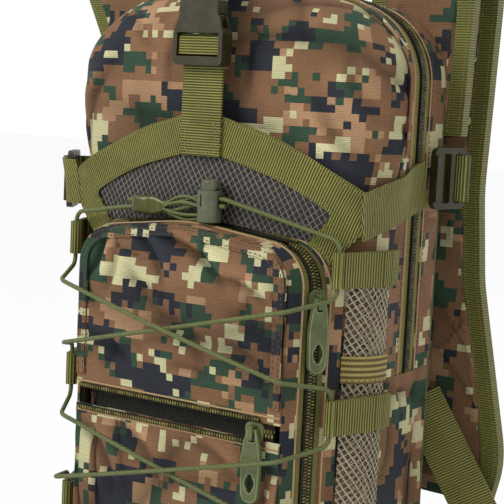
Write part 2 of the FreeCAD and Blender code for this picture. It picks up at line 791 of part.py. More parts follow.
def make_centre_strap():
    """The strap sewn on the flap, folded over the buckle's ladder bar."""
    front = buckle_axis - hook_gap / 2 - s.webbing_thick / 2
    turn = (strap_line - front) / 2
    top = s.buckle_foot + s.ladder_length - s.webbing_thick / 2 - s.gap
    path = [(strap_line, s.centre_strap_foot), (strap_line, top, turn * 0.98),
            (front, top, turn * 0.98), (front, s.buckle_foot + s.bar_low + 1)]
    body = pipe("centre_strap_lower", "YZ_Plane", path, s.centre_strap_foot, "XY_Plane",
                webbing_profile(0, strap_line))
    keep(body)


def make_buckle_female():
    """Ladder end and hollow, tapered socket with a window in each side."""
    body = new_body("buckle_female")
    half, mouth = s.buckle_width / 2, s.buckle_mouth_width / 2
    foot, top = s.buckle_foot, s.buckle_foot + s.buckle_length
    shoulder = foot + s.ladder_length
    front = buckle_axis - s.buckle_thick / 2
    rear = buckle_axis + s.buckle_thick / 2
    shape = [(-half, foot, 3), (half, foot, 3), (half, shoulder, 2),
             (mouth, shoulder + 9, 4), (mouth, top, 2), (-mouth, top, 2),
             (-mouth, shoulder + 9, 4), (-half, shoulder, 2)]
    pad(body, "XZ_Plane", [shape], front, rear)
    inner = s.webbing / 2 + 0.6
    pocket(body, "XZ_Plane", [rectangle(-inner, inner, foot + s.bar_low,
                                        shoulder + s.gap / 3)], front, rear)
    pocket(body, "XZ_Plane", [rectangle(-inner, inner, -far, shoulder)],
           strap_face - s.webbing_thick - s.gap, rear)
    bar_foot = foot + s.bar_low + 2.6
    pad(body, "XZ_Plane", [rectangle(-inner - 0.5, inner + 0.5, bar_foot,
                                     bar_foot + s.bar_mid)],
        buckle_axis - hook_gap / 2 + s.gap, buckle_axis + hook_gap / 2 - s.gap)
    cavity = mouth - s.buckle_wall
    floor = shoulder + 2
    pocket(body, "XZ_Plane", [[(-cavity, floor, 1), (cavity, floor, 1), (cavity, far),
                               (-cavity, far)]], front + s.buckle_wall,
           rear - s.buckle_wall)
    low, high = top - s.prong_length + 1.2, top - s.prong_length + 8.6
    pocket(body, "XZ_Plane", [rectangle(-far, -cavity + 0.5, low, high),
                              rectangle(cavity - 0.5, far, low, high)],
           front + s.buckle_wall, rear - s.buckle_wall)
    keep(body)


def make_buckle_male():
    """Base with its webbing bar and guide tongue; the two prongs are hinged on it."""
    body = new_body("buckle_male")
    top = s.buckle_foot + s.buckle_length
    half, mouth = s.buckle_width / 2, s.buckle_mouth_width / 2
    front, rear = buckle_axis - s.buckle_thick / 2, buckle_axis + s.buckle_thick / 2
    base_low, base_high = top + s.gap, top + s.male_base + s.gap
    shape = [(-mouth, base_low), (mouth, base_low), (half, base_low + 4, 3),
             (half, base_high, 3), (-half, base_high, 3), (-half, base_low + 4, 3)]
    pad(body, "XZ_Plane", [shape], front + 1, rear - 1)
    inner = s.webbing / 2 + 0.6
    pocket(body, "XZ_Plane", [rectangle(-inner, inner, base_low + 4.4, base_high - 3)],
           front + 1, rear - 1)
    tongue = s.prong_length - 2
    pad(body, "XZ_Plane", [[(-1.6, base_low - tongue, 1.2), (1.6, base_low - tongue, 1.2),
                            (2.6, base_low + 1), (-2.6, base_low + 1)]],
        buckle_axis - 1.6, buckle_axis + 1.6)
    root = mouth - s.buckle_wall - s.prong_width
    seat = rectangle(root - 1.2, root + s.prong_width + 1, base_low - 1, base_low + 2.6)
    twin = [(-x, z) for x, z in reversed(seat)]
    pocket(body, "XZ_Plane", [seat, twin], buckle_axis - 2.4, buckle_axis + 2.4)
    keep(body)


def make_prong():
    """A side prong: a springy stem that ends in a wide head with a sloped nose."""
    body = new_body("buckle_prong_right")
    top = s.buckle_foot + s.buckle_length + s.gap
    mouth = s.buckle_mouth_width / 2 - s.buckle_wall
    outer = mouth - s.gap
    inner = outer - s.prong_width + 0.8
    tip = top - s.prong_length
    head = tip + 7.5
    reach = outer + s.prong_reach - 0.9
    shape = [(inner, top + 2.2), (inner - 0.6, tip + 2, 1), (inner + 2, tip, 0.8),
             (reach, head - 2.5, 0.8), (reach, head, 0.4), (outer, head + 0.8, 0.5),
             (outer, top + 2.2)]
    pad(body, "XZ_Plane", [shape], buckle_axis - 2, buckle_axis + 2)
    keep(body)
    keep(mirrored(body, "buckle_prong_left"))


def make_upper_strap():
    """The strap from the buckle over the crown to the seam at the back."""
    top = s.buckle_foot + s.buckle_length + s.gap
    start = top + 4.4 + 1.8
    rise = bag_top() + s.piping_radius * 2 + s.gap * 2 + s.webbing_thick / 2
    behind = buckle_axis + s.buckle_thick / 2 + s.gap
    path = [(buckle_axis - 3, start), (behind, start, 1.3), (behind, rise, 5),
            (piping_depth + 12, rise, 60), (s.bag_back - 4, rise - 1.4)]
    body = pipe("centre_strap_upper", "YZ_Plane", path, buckle_axis - 3, "XZ_Plane",
                rectangle(-s.webbing / 2, s.webbing / 2, start - s.webbing_thick / 2,
                          start + s.webbing_thick / 2))
    keep(body)


# ---------------------------------------------------------------- side straps, ladder locks

def ladder_lock(label):
    """A ladder lock lying in the YZ plane, its rear bar centred on the origin."""
    body = new_body(label)
    half, back = s.lock_height / 2, s.lock_bar / 2
    front = back - s.lock_length
    thin = s.lock_thick / 2
    pad(body, "YZ_Plane", [rounded_rectangle(front, back, -half, half, 4)], -thin, thin)
    slot = s.webbing / 2 + 0.8
    first = -back - s.lock_slot
    second = first - s.lock_bar * 0.7 - s.lock_slot
    pocket(body, "YZ_Plane", [rounded_rectangle(first, first + s.lock_slot, -slot, slot, 1.5),
                              rounded_rectangle(second, second + s.lock_slot, -slot, slot,
                                                1.5)], -thin, thin)
    pad(body, "YZ_Plane", [rounded_rectangle(front, front + 3.4, 4 - half, half - 4, 1.2)],
        thin - 0.2, thin + 1.6)
    round_edges(body, 0.8, lambda edge: parallel_to((0, 0, 1), edge)
                and edge.Length > slot.value and edge.CenterOfMass.x > 0.5)
    return body


lock_x, lock_y = half_bag + 10.9, s.bag_back + 2.4
strap_height = (s.flap_corner + s.flap_low_corner) / 2
lock_z = strap_height + 17


left_height = strap_height + s.left_strap_rise


def left_point(run):
    """A point this far along the left strap once it has turned off the corner."""
    turn = math.radians(s.left_lock_turn.value)
    bend_x = s.flap_half + 0.5 + s.gap + s.left_strap_reach
    bend_y = -s.flap_side - s.mesh - s.gap - s.webbing_thick / 2
    return bend_x + run * math.sin(turn), bend_y + run * math.cos(turn)


def make_side_straps():
    """Compression straps from the flap's corners to the ladder locks.

    The left one is drawn in, so its lock stands out beside the front corner.
    """
    line = half_bag + s.coil_height / 2 + s.webbing_thick / 2 + 0.05
    corner_y = -s.flap_side - s.mesh - 4.3
    path = [(line, 21), (line, -12, 40), (s.flap_half + 1.4, corner_y - 0.4)]
    body = pipe("side_strap_right", "XY_Plane", path, 21, "XZ_Plane",
                webbing_profile(line, strap_height, "x"), strap_height)
    pivot = FreeCAD.Vector(0, -s.flap_side.value, strap_height.value)
    tilt = FreeCAD.Rotation(FreeCAD.Vector(1, 0, 0), s.strap_tilt.value)
    body.Placement = FreeCAD.Placement(FreeCAD.Vector(), tilt, pivot)
    keep(body)
    start = (s.flap_half + 0.5 + s.gap, -s.flap_side - s.mesh - s.gap - s.webbing_thick / 2)
    path = [start, (start[0] + s.left_strap_reach, start[1], 6),
            left_point(s.left_strap_run)]
    body = pipe("side_strap_drawn", "XY_Plane", path, start[0], "YZ_Plane",
                webbing_profile(start[1], left_height, "x"), left_height)
    keep(mirrored(body, "side_strap_left"))


def make_ladder_locks():
    lock = place(ladder_lock("ladder_lock_right"), lock_x, lock_y, lock_z,
                 [((0, 0, 1), -s.lock_turn)])
    keep(lock)
    bar_x, bar_y = left_point(s.left_strap_run + s.gap + s.lock_length - s.lock_bar / 2)
    lock = place(ladder_lock("ladder_lock_drawn"), bar_x, bar_y, left_height,
                 [((0, 0, 1), -s.left_lock_turn)])
    keep(mirrored(lock, "ladder_lock_left"))
    line = s.lock_bar / 2 + 0.95 + s.webbing_thick / 2
    seam = half_bag + s.gap + 0.2
    outer = lock_x + line
    path = [(seam, lock_y - line), (outer, lock_y - line, line * 0.96),
            (outer, lock_y + line, line * 0.96), (seam, lock_y + line)]
    anchor = pipe("lock_anchor_right", "XY_Plane", path, seam, "YZ_Plane",
                  webbing_profile(lock_y - line, lock_z, "x"), lock_z)
    keep(anchor)
    seam, leave = s.bag_back - 4, s.bag_back - 15
    near = half_bag + s.gap + s.webbing_thick / 2
    apart = near + s.webbing_thick + 0.5
    run = math.hypot(number(bar_x - near), number(leave - bar_y))
    ahead_x, ahead_y = (bar_x - near) / run, (bar_y - leave) / run
    fold = line + s.gap
    outer = (bar_x + fold * (ahead_x - ahead_y), bar_y + fold * (ahead_y + ahead_x),
             fold * 0.9)
    inner = (bar_x + fold * (ahead_x + ahead_y), bar_y + fold * (ahead_y - ahead_x),
             fold * 0.9)
    path = [(apart, seam), (apart, leave, 12), outer, inner, (near, leave, 12),
            (near, seam)]
    anchor = pipe("lock_anchor_drawn", "XY_Plane", path, seam, "XZ_Plane",
                  webbing_profile(apart, left_height, "x"), left_height)
    keep(mirrored(anchor, "lock_anchor_left"))


# ---------------------------------------------------------------- cord lacing

corner_x = half_bag - s.front_edge_radius
loop_heights = [s.loop_top - s.loop_pitch * step for step in (0, 1, 2)]
net_outer = s.net_standoff + s.mesh
loop_inner = net_outer + s.gap
loop_ply = s.loop_wall * 2
eye_radius = s.cord / 2 + s.gap


def corner_band(body, inner, outer, front_x, rear_y, low, high):
    """A band bent round the bag's right front corner, between two standoffs."""
    side, front, radius = half_bag, -s.bag_front, s.front_edge_radius
    start = corner_x - 12
    loop = [(start, front - outer), (side + outer, front - outer, radius + outer),
            (side + outer, rear_y), (side + inner, rear_y),
            (side + inner, front - inner, radius + inner), (start, front - inner)]
    pad(body, "XY_Plane", [loop], low, high)
    pocket(body, "XY_Plane", [rectangle(-far, front_x, -far, 0)], low, high)


def make_loop(name, height):
    """A folded webbing loop: an eye for the cord and two plies sewn to the corner."""
    body = new_body("cord_loop_right_" + name)
    low, high = height - s.loop_height / 2, height + s.loop_height / 2
    outer = loop_inner + loop_ply
    corner_band(body, loop_inner, outer, half_bag - 4, -14, low, high)
    pad(body, "XY_Plane", [rectangle(half_bag + s.gap, half_bag + outer, -14,
                                     -14 + s.loop_wall * 2)], low, high)
    eye_x, eye_y = s.loop_eye_x, -s.loop_eye_y
    run = s.loop_wall
    pad(body, "XY_Plane", [[(half_bag + outer, -s.bag_front + 11),
                            (half_bag + outer - loop_ply, -s.bag_front + 11),
                            (eye_x + 0.6, eye_y + eye_radius),
                            (eye_x + 0.6 + loop_ply, eye_y + 0.6)]], low, high)
    pad(body, "XY_Plane", [(eye_x, eye_y, eye_radius + run)], low, high)
    pocket(body, "XY_Plane", [(eye_x, eye_y, eye_radius)], low, high)
    return body


def make_loops():
    """Three loops down each side of the bag."""
    loops = [make_loop(name, height)
             for name, height in zip(("top", "middle", "foot"), loop_heights)]
    right = keep(group("cord_loops_right", loops))
    keep(mirrored(right, "cord_loops_left"))


def make_nets():
    """Stretch net over the corner with its elastic top band, on both sides."""
    net = new_body("side_net_right")
    start = s.pocket_rear_width / 2 + s.gap * 2
    corner_band(net, s.net_standoff, net_outer, start, -14.4, s.net_foot, s.net_top)
    band = new_body("net_elastic_right")
    corner_band(band, loop_inner, loop_inner + 1.2, start, -14.6,
                s.elastic_low, s.elastic_low + s.elastic_height)
    for body, label in ((net, "side_net_left"), (band, "net_elastic_left")):
        keep(body)
        keep(mirrored(body, label))


keeper_low, keeper_high = s.keeper_height - 1.9, s.keeper_height + 1.9
cord_level = s.barrel_foot + 10.5
lock_low, lock_high = cord_level - 1.9, cord_level + 1.9
front_strand = -s.pocket_front - 7
outer_strand = front_strand - s.cord - s.gap


def lacing_points():
    """The route of the cord from its end in the keeper back to its end at the lock."""
    eye_x, eye_y = s.loop_eye_x, -s.loop_eye_y
    lead = s.loop_height / 2 + 5.5
    edge = s.pocket_front_width / 2 + 5
    top, middle, foot = loop_heights
    depth = -s.lacing_depth
    lock_side = s.barrel_radius + 1.5
    keeper_end = s.keeper_length / 2 + 4

    def loop(side, height, down):
        ends = (height + lead, height - lead)
        first, last = ends if down else ends[::-1]
        return [(eye_x * side, eye_y, first), (eye_x * side, eye_y, last)]

    def strand(side, start, finish, level):
        rise = finish - start
        return [(edge * side, level, start + rise * 0.12),
                (edge * -side, level, start + rise * 0.88)]

    route = [(-s.keeper_x - keeper_end, depth, keeper_high),
             (-s.keeper_x + keeper_end, depth, keeper_high),
             (s.lock_x - lock_side, depth, lock_high),
             (s.lock_x + lock_side + 1, depth, lock_high)]
    route += loop(1, top, True)
    route += strand(1, top - lead, middle + lead, front_strand)
    route += loop(-1, middle, True)
    route += strand(-1, middle - lead, foot + lead, front_strand)
    route += loop(1, foot, True)
    route += strand(1, foot - lead, foot - lead, front_strand)
    route += loop(-1, foot, False)
    route += strand(-1, foot + lead, middle - lead, outer_strand)
    route += loop(1, middle, False)
    route += strand(1, middle + lead, top - lead, outer_strand)
    route += loop(-1, top, False)
    route += [(-s.keeper_x - keeper_end + 1, depth, keeper_low),
              (-s.keeper_x + keeper_end, depth, keeper_low),
              (s.lock_x - lock_side, depth, lock_low),
              (s.lock_x + lock_side + 2, depth, lock_low)]
    return [FreeCAD.Vector(*[number(v) for v in point]) for point in route]


def rounded_wire(points, largest):
    """Straight runs joined by tangent arcs, none larger than the given radius."""
    edges, start = [], points[0]
    for before, corner, after in zip(points, points[1:], points[2:]):
        back = (before - corner).normalize()
        ahead = (after - corner).normalize()
        half = back.getAngle(ahead) / 2
        room = 0.45 * min((before - corner).Length, (after - corner).Length)
        reach = min(room, largest / math.tan(half))
        radius = reach * math.tan(half)
        middle = (back + ahead).normalize()
        top = corner + middle * (radius / math.sin(half) - radius)
        first, last = corner + back * reach, corner + ahead * reach
        edges += [Part.makeLine(start, first), Part.Arc(first, top, last).toShape()]
        start = last
    edges.append(Part.makeLine(start, points[-1]))
    return Part.Wire(edges)


def tube(label, points, thick, largest):
    """A round tube along a three-dimensional route."""
    wire = rounded_wire(points, largest)
    ahead = (points[1] - points[0]).normalize()
    circle = Part.Circle(points[0], ahead, thick / 2)
    shape = wire.makePipeShell([Part.Wire([circle.toShape()])], True, False)
    item = doc.addObject("Part::Feature", label)
    item.Label = label
    item.Shape = shape if shape.Volume > 0 else shape.reversed()
    item.Placement = FreeCAD.Placement()
    section = math.pi * thick * thick / 4
    print(label, "length %.0f, volume ratio %.4f"
          % (wire.Length, item.Shape.Volume / (section * wire.Length)))
    return item


def make_cord():
    keep(tube("bungee_cord", lacing_points(), s.cord.value, 6.0))


def make_keeper():
    """A short sleeve with two bores for the two strands."""
    body = new_body("cord_keeper")
    depth, bore = -s.lacing_depth, s.cord / 2 + s.gap / 2
    left = -s.keeper_x - s.keeper_length / 2
    right = -s.keeper_x + s.keeper_length / 2
    pad(body, "YZ_Plane", [rounded_rectangle(depth - 3, depth + 3, s.keeper_height - 5,
                                             s.keeper_height + 5, 2.9)], left, right)
    for height in (keeper_low, keeper_high):
        pocket(body, "YZ_Plane", [(depth, height, bore)], left, right)
    keep(body)


def make_cord_lock():
    """Barrel, spring-loaded button and spring; both have cross bores for the cord."""
    depth, foot = -s.lacing_depth, s.barrel_foot
    barrel = new_body("cord_lock_barrel")
    pad(barrel, "XY_Plane", [(s.lock_x, depth, s.barrel_radius)],
        foot, foot + s.barrel_height)
    pocket(barrel, "XY_Plane", [(s.lock_x, depth, s.button_radius + s.gap)],
           foot + 1.2, foot + s.barrel_height)
    bore = s.cord / 2 + s.gap
    pocket(barrel, "YZ_Plane", [rounded_rectangle(depth - bore, depth + bore,
                                                  lock_low - bore, lock_high + bore,
                                                  bore * 0.95)], -far, far)
    keep(barrel)
    button = new_body("cord_lock_button")
    under = lock_low - bore - 1.4
    pad(button, "XY_Plane", [(s.lock_x, depth, s.button_radius)],
        under, foot + s.barrel_height + s.button_rise)
    pocket(button, "YZ_Plane", [rounded_rectangle(depth - bore, depth + bore,
                                                  lock_low - bore,
                                                  lock_high + bore + s.button_travel,
                                                  bore * 0.95)], -far, far)
    top = foot + s.barrel_height + s.button_rise
    round_edges(button, 1.2, lambda edge: abs(edge.CenterOfMass.z - top.value) < 1e-6
                and abs(edge.CenterOfMass.x - s.lock_x.value) < 0.1)
    keep(button)
    make_spring(foot + 1.2, under)


def make_spring(low, high):
    """A coil spring between the barrel's floor and the button."""
    wire = s.spring_wire.value
    height = number(high) - number(low) - wire - 2 * s.gap.value / 3
    radius = s.button_radius.value - 1.2
    spine = Part.makeHelix(height / 3, height, radius)
    circle = Part.Circle(FreeCAD.Vector(radius, 0, 0), FreeCAD.Vector(0, 1, 0), wire / 2)
    shape = Part.Wire(spine.Edges).makePipeShell([Part.Wire([circle.toShape()])],
                                                 True, True)
    item = doc.addObject("Part::Feature", "cord_lock_spring")
    item.Label = "cord_lock_spring"
    item.Shape = shape if shape.Volume > 0 else shape.reversed()
    rest = number(low) + wire / 2 + s.gap.value / 3
    item.Placement.Base = FreeCAD.Vector(s.lock_x.value, -s.lacing_depth.value, rest)
    keep(item)


# ---------------------------------------------------------------- sliders and pulls

bridge_low, bridge_high = 4.4, 5.6
pin_height = 2.95


def slider_body(label, deck, half, long):
    """A slider: a deck over the teeth and a bridge that stands along Z.

    The fabric's face is the plane y = 0 and the outside is at -y.
    """
    body = new_body(label)
    shape = [(-half + 1.4, -long, 1.5), (half - 1.4, -long, 1.5), (half, long, 3),
             (-half, long, 3)]
    pad(body, "XZ_Plane", [shape], -deck - s.slider_plate, -1 * deck)
    lift = -deck - s.slider_plate
    shift = deck - s.gap
    pad(body, "XZ_Plane", [rectangle(-1.2, 1.2, -3.6, 3.8)], -bridge_high - shift,
        lift + 0.1)
    pocket(body, "YZ_Plane", [rectangle(-bridge_low - shift, lift, -2.4, 2.6)], -2, 2)
    return body


def slider_flanges(body, deck, reach):
    """Flanges from the deck down beside the closed coil."""
    inner = s.coil_width * 0.7 + s.gap
    outer = s.slider_width / 2
    long = s.slider_length / 2 - 2
    pad(body, "XZ_Plane", [rectangle(-outer, -inner, -long, long),
                           rectangle(inner, outer, -long, long)], -deck, reach)


def pull_tab(label):
    """A moulded pull that hangs along -Z from a pin along X at the origin."""
    body = new_body(label)
    wide, long, thin = s.pull_width / 2, s.pull_length, s.pull_thick / 2
    shape = [(-2.9, 1, 1), (2.9, 1, 1), (wide - 1.2, -7.5, 6), (wide, -15, 10),
             (wide - 0.9, -1 * long, 5.1), (-wide + 0.9, -1 * long, 5.1),
             (-wide, -15, 10), (-wide + 1.2, -7.5, 6)]
    pad(body, "XZ_Plane", [shape], -1 * thin, thin)
    pocket(body, "XZ_Plane", [rounded_rectangle(-1.7, 1.7, -6, -0.75, 0.7)],
           -1 * thin, thin)
    pocket(body, "XZ_Plane", [[(0, 4.5 - long, 1), (3.3, 10.5 - long, 4.5),
                               (0, 16.5 - long, 1), (-3.3, 10.5 - long, 4.5)]],
           -1 * thin, thin)
    return body


gusset_turn = math.degrees(math.atan2(
    number(s.pocket_front + pocket_back),
    number(s.pocket_rear_width - s.pocket_front_width) / 2))
gusset_lean = number(s.pocket_rear_width - s.pocket_front_width) / 2 / number(
    s.pocket_front + pocket_back)
track_x = s.pocket_front_width / 2 + (s.pocket_front - s.pocket_zip_depth) * gusset_lean
upright = ((0, 0, 1), gusset_turn)


def offset_along(turn, lift):
    """Where a point at this height above a turned face lies, seen from above."""
    angle = math.radians(turn)
    return math.sin(angle) * lift, -math.cos(angle) * lift


def make_sliders():
    half, long = s.slider_width / 2, s.slider_length / 2
    upper = slider_body("pocket_slider", s.gap, half, long)
    slider_flanges(upper, s.gap, 1.2)
    height = s.pocket_slider_height
    keep(place(upper, track_x, -s.pocket_zip_depth, height, [upright]))
    dx, dy = offset_along(gusset_turn, pin_height)
    pull = pull_tab("pocket_pull")
    keep(place(pull, track_x + dx, -s.pocket_zip_depth + dy, height + 1.2, [upright]))
    make_lower_slider()
    side = slider_body("main_slider", s.coil_height / 2 + s.gap, half, long)
    turn = ((0, 0, 1), -90)
    keep(place(side, -half_bag, s.main_zip_depth, s.main_slider_height, [turn]))
    lift = pin_height + s.coil_height / 2
    pull = pull_tab("main_pull")
    keep(place(pull, -half_bag - lift, s.main_zip_depth, s.main_slider_height + 1.2,
               [turn]))


def make_lower_slider():
    """The slider of the lower pocket: its neck stands in the gap between the lips."""
    deck = s.coil_height + s.gap * 1.4
    half, long = s.slider_length / 2, s.slider_width / 2
    body = slider_body("lower_slider", deck, half, long)
    pad(body, "XZ_Plane", [rectangle(-5, -1.5, -2.6, 2.6)], -1 * deck, s.fabric + s.gap)
    pad(body, "XZ_Plane", [rounded_rectangle(-5.6, 0.8, -3.9, 3.9, 1.2)],
        s.fabric + s.gap, s.fabric + s.gap + 1.2)
    middle = (s.lip_low + s.lip_high) / 2
    face = -s.pocket_front
    keep(place(body, s.lower_slider_x, face, middle))
    pull = pull_tab("lower_pull")
    level = face - pin_height - deck + s.gap
    keep(place(pull, s.lower_slider_x, level, middle + 1.2))


# ---------------------------------------------------------------- harness

def strap_edge(shift, splay):
    """One long edge of a shoulder strap from the top down, moved by a distance."""
    base = half_bag + shift
    return [(base + 14 + splay, s.bag_crown + s.strap_rise * 1.5),
            (base + 9 + splay * 0.1, s.strap_neck, 150), (base + 13, s.strap_waist, 90),
            (base + 35, s.strap_curve, 60), (base + 30, s.strap_end)]


def strap_side():
    """The strap's side view: up from its root, over the shoulder bend and down."""
    start, thick = s.bag_back + s.gap, s.strap_thick
    rear, bend = s.bag_back + s.strap_reach, s.strap_bend
    top, foot = s.bag_crown + s.strap_rise, s.strap_end - 8
    return [(start, s.strap_root), (start, top, bend), (rear, top, bend),
            (rear, s.strap_waist, 200), (rear - 6, foot), (rear - 6 - thick, foot),
            (rear - thick, s.strap_waist, 200 + thick),
            (rear - thick, top - thick, bend - thick),
            (start + thick, top - thick, bend - thick), (start + thick, s.strap_root)]


def strap_layer(label, loop, grow=0):
    side = new_body(label + "_side")
    pad(side, "YZ_Plane", [strap_side()], -far, far)
    front = new_body(label + "_front")
    pad(front, "XZ_Plane", [loop], 0, far / 2)
    return combine("Common", label, side, front)


def strap_between(low_shift, high_shift, splay, end=0):
    """The region between two shifted edges, closed at the lower end."""
    inner, outer = strap_edge(low_shift, splay), strap_edge(high_shift, splay)
    if end:
        outer = outer[:-1] + [outer[-1] + (end,)]
        inner = inner[:-1] + [inner[-1] + (end,)]
    return outer + inner[::-1]


def make_shoulder_straps():
    """Padded straps with a binding along each long edge."""
    wide, bind_width, gap = s.strap_width, s.binding_width, s.gap
    for side, splay in (("right", 0), ("left", s.strap_splay)):
        core = strap_between(bind_width + gap - wide, -bind_width - gap, splay, 9)
        strap = strap_layer("strap_core_" + side, core)
        outer = strap_layer("strap_outer_" + side,
                            strap_between(-1 * bind_width, 0 * wide, splay))
        inner = strap_layer("strap_inner_" + side,
                            strap_between(-1 * wide, bind_width - wide, splay))
        binding = group("strap_edges_" + side, [outer, inner])
        if side == "left":
            strap = mirrored(strap, "shoulder_strap_left")
            binding = mirrored(binding, "strap_binding_left")
        strap.Label = "shoulder_strap_" + side
        binding.Label = "strap_binding_" + side
        keep(strap)
        keep(binding)


def make_adjusters():
    """Webbing sewn to the back's edge that runs down and out past the strap."""
    band = block("adjuster_right", (0, 0, 0), (s.adjuster_length, s.webbing_thick,
                                               s.webbing))
    band.Label = "adjuster_right"
    turns = [((0, 1, 0), 60), ((0, 0, 1), 16)]
    place(band, half_bag - 17, s.bag_back + s.gap, s.strap_curve + s.adjuster_height,
          turns)
    keep(band)
    keep(mirrored(band, "adjuster_left"))


def make_haul_loop():
    """A handle of folded webbing standing on the top of the back."""
    depth = s.bag_back + s.gap + 6
    top = s.bag_crown + s.haul_rise
    half = s.haul_half
    path = [(half, s.bag_shoulder - 14), (half, top, 14), (-half, top, 14),
            (-half, s.bag_shoulder - 14)]
    body = pipe("haul_loop", "XZ_Plane", path, s.bag_shoulder - 14, "XY_Plane",
                rounded_rectangle(half - 1.5, half + 1.5, depth - 6, depth + 6, 1.2),
                -1 * depth)
    keep(body)


def make_all():
    make_front_panel()
    make_gussets()
    make_main_zip()
    make_back()
    make_piping()
    make_pocket_gussets()
    make_pocket_zip()
    make_pocket_panels()
    make_lower_zip()
    make_flap()
    make_centre_strap()
    make_buckle_female()
    make_buckle_male()
    make_prong()
    make_upper_strap()
    make_side_straps()
    make_ladder_locks()
    make_loops()
    make_nets()
    make_cord()
    make_keeper()
    make_cord_lock()
    make_sliders()
    make_shoulder_straps()
    make_adjusters()
    make_haul_loop()


def write_all():
    """Check every piece and write it out."""
    doc.recompute()
    os.makedirs("parts", exist_ok=True)
    faults = []
    for item in nodes:
        shape = item.Shape
        bad = [state for state in item.State if state in ("Invalid", "Error")]
        if bad or shape.isNull() or not shape.isValid() or shape.Volume <= 0:
            faults.append(item.Label)
            continue
        shape.exportStep("parts/%s.step" % item.Label)
    if faults:
        raise RuntimeError("faulty pieces: " + ", ".join(faults))
    print(len(nodes), "pieces written")


make_all()
write_all()
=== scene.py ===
import bpy
import json
import math
import numpy as np
from mathutils import Matrix, Vector
from mathutils.kdtree import KDTree


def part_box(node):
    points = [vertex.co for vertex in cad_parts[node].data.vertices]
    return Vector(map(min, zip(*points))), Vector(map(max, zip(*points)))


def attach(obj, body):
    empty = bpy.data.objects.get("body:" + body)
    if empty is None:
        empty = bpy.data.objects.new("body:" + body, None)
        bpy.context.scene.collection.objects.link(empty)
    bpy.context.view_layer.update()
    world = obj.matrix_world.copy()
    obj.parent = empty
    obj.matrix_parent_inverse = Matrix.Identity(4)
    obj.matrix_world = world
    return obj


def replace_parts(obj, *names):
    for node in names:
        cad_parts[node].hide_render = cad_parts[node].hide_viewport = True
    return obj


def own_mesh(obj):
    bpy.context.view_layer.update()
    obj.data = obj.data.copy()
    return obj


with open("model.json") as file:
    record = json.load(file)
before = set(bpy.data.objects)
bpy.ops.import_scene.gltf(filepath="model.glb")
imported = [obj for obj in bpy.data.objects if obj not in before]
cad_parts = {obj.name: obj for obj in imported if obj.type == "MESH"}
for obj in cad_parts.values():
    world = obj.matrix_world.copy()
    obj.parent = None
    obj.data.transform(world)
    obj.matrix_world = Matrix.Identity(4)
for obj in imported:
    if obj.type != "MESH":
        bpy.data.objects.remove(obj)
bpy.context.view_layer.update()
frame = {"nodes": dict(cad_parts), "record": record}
nodes = frame["nodes"]
MM = 0.001


# ---------------------------------------------------------------- camera and light

def look_camera(place, around, down, roll, lens):
    """A camera at a place in millimetres, turned by angles in degrees."""
    a, e, t = (math.radians(v) for v in (around, down, roll))
    ahead = Vector((-math.sin(a) * math.cos(e), math.cos(a) * math.cos(e), -math.sin(e)))
    right = Vector((math.cos(a), math.sin(a), 0))
    up = right.cross(ahead)
    tilted_right = right * math.cos(t) + up * math.sin(t)
    tilted_up = up * math.cos(t) - right * math.sin(t)
    data = bpy.data.cameras.new("camera")
    data.lens = lens
    data.sensor_width = 36
    data.clip_start, data.clip_end = 0.05, 20
    camera = bpy.data.objects.new("camera", data)
    bpy.context.scene.collection.objects.link(camera)
    matrix = Matrix((tilted_right, tilted_up, -ahead)).transposed().to_4x4()
    matrix.translation = Vector(place) * MM
    camera.matrix_world = matrix
    bpy.context.scene.camera = camera


# Each lamp's place, the point that it faces, its width and its power, in metres and watts.
LAMPS = {
    "key": ((-0.7, -1.5, 1.3), (0, 0, 0.25), 1.1, 25),
    "fill": ((1.5, -0.9, 0.6), (0, 0, 0.25), 1.4, 4.5),
    "top": ((0.1, 0.1, 1.8), (0, 0, 0.2), 1.2, 6),
    "back": ((0.5, 1.6, 0.9), (0, 0, 0.25), 1.4, 13),
}


def area_light(name, place, target, size, power):
    """A round lamp that faces a point."""
    data = bpy.data.lights.new(name, "AREA")
    data.shape = "DISK"
    data.size = size
    data.energy = power
    light = bpy.data.objects.new(name, data)
    bpy.context.scene.collection.objects.link(light)
    light.location = place
    ahead = Vector(target) - Vector(place)
    light.rotation_euler = ahead.to_track_quat("-Z", "Y").to_euler()


look_camera(place=(416.6, -645.3, 352.6), around=32.8, down=6.7, roll=2.8, lens=98.4)
for lamp, settings in LAMPS.items():
    area_light(lamp, *settings)
bpy.context.scene.view_settings.view_transform = "Standard"


# ---------------------------------------------------------------- shader arithmetic

def operation(kind):
    """A method that adds a Math node of this kind."""
    def apply(self, *others):
        inputs = dict(enumerate((self,) + others))
        return self.network.make("Math", inputs, operation=kind)
    return apply


class Term:
    """A shader socket that can be used in ordinary arithmetic."""

    def __init__(self, network, socket):
        self.network = network
        self.socket = socket

    __add__ = __radd__ = operation("ADD")
    __sub__ = operation("SUBTRACT")
    __mul__ = __rmul__ = operation("MULTIPLY")
    __truediv__ = operation("DIVIDE")
    __gt__ = operation("GREATER_THAN")
    __lt__ = operation("LESS_THAN")
    sine = operation("SINE")
    floor = operation("FLOOR")
    part = operation("FRACT")
    size = operation("ABSOLUTE")
    larger = operation("MAXIMUM")

    def __rsub__(self, other):
        return self * -1 + other

    def ramp(self, low, high):
        """Zero below low, one above high, and smooth between."""
        return self.network.make("MapRange", {"Value": self, "From Min": low,
                                              "From Max": high},
                                 interpolation_type="SMOOTHSTEP")


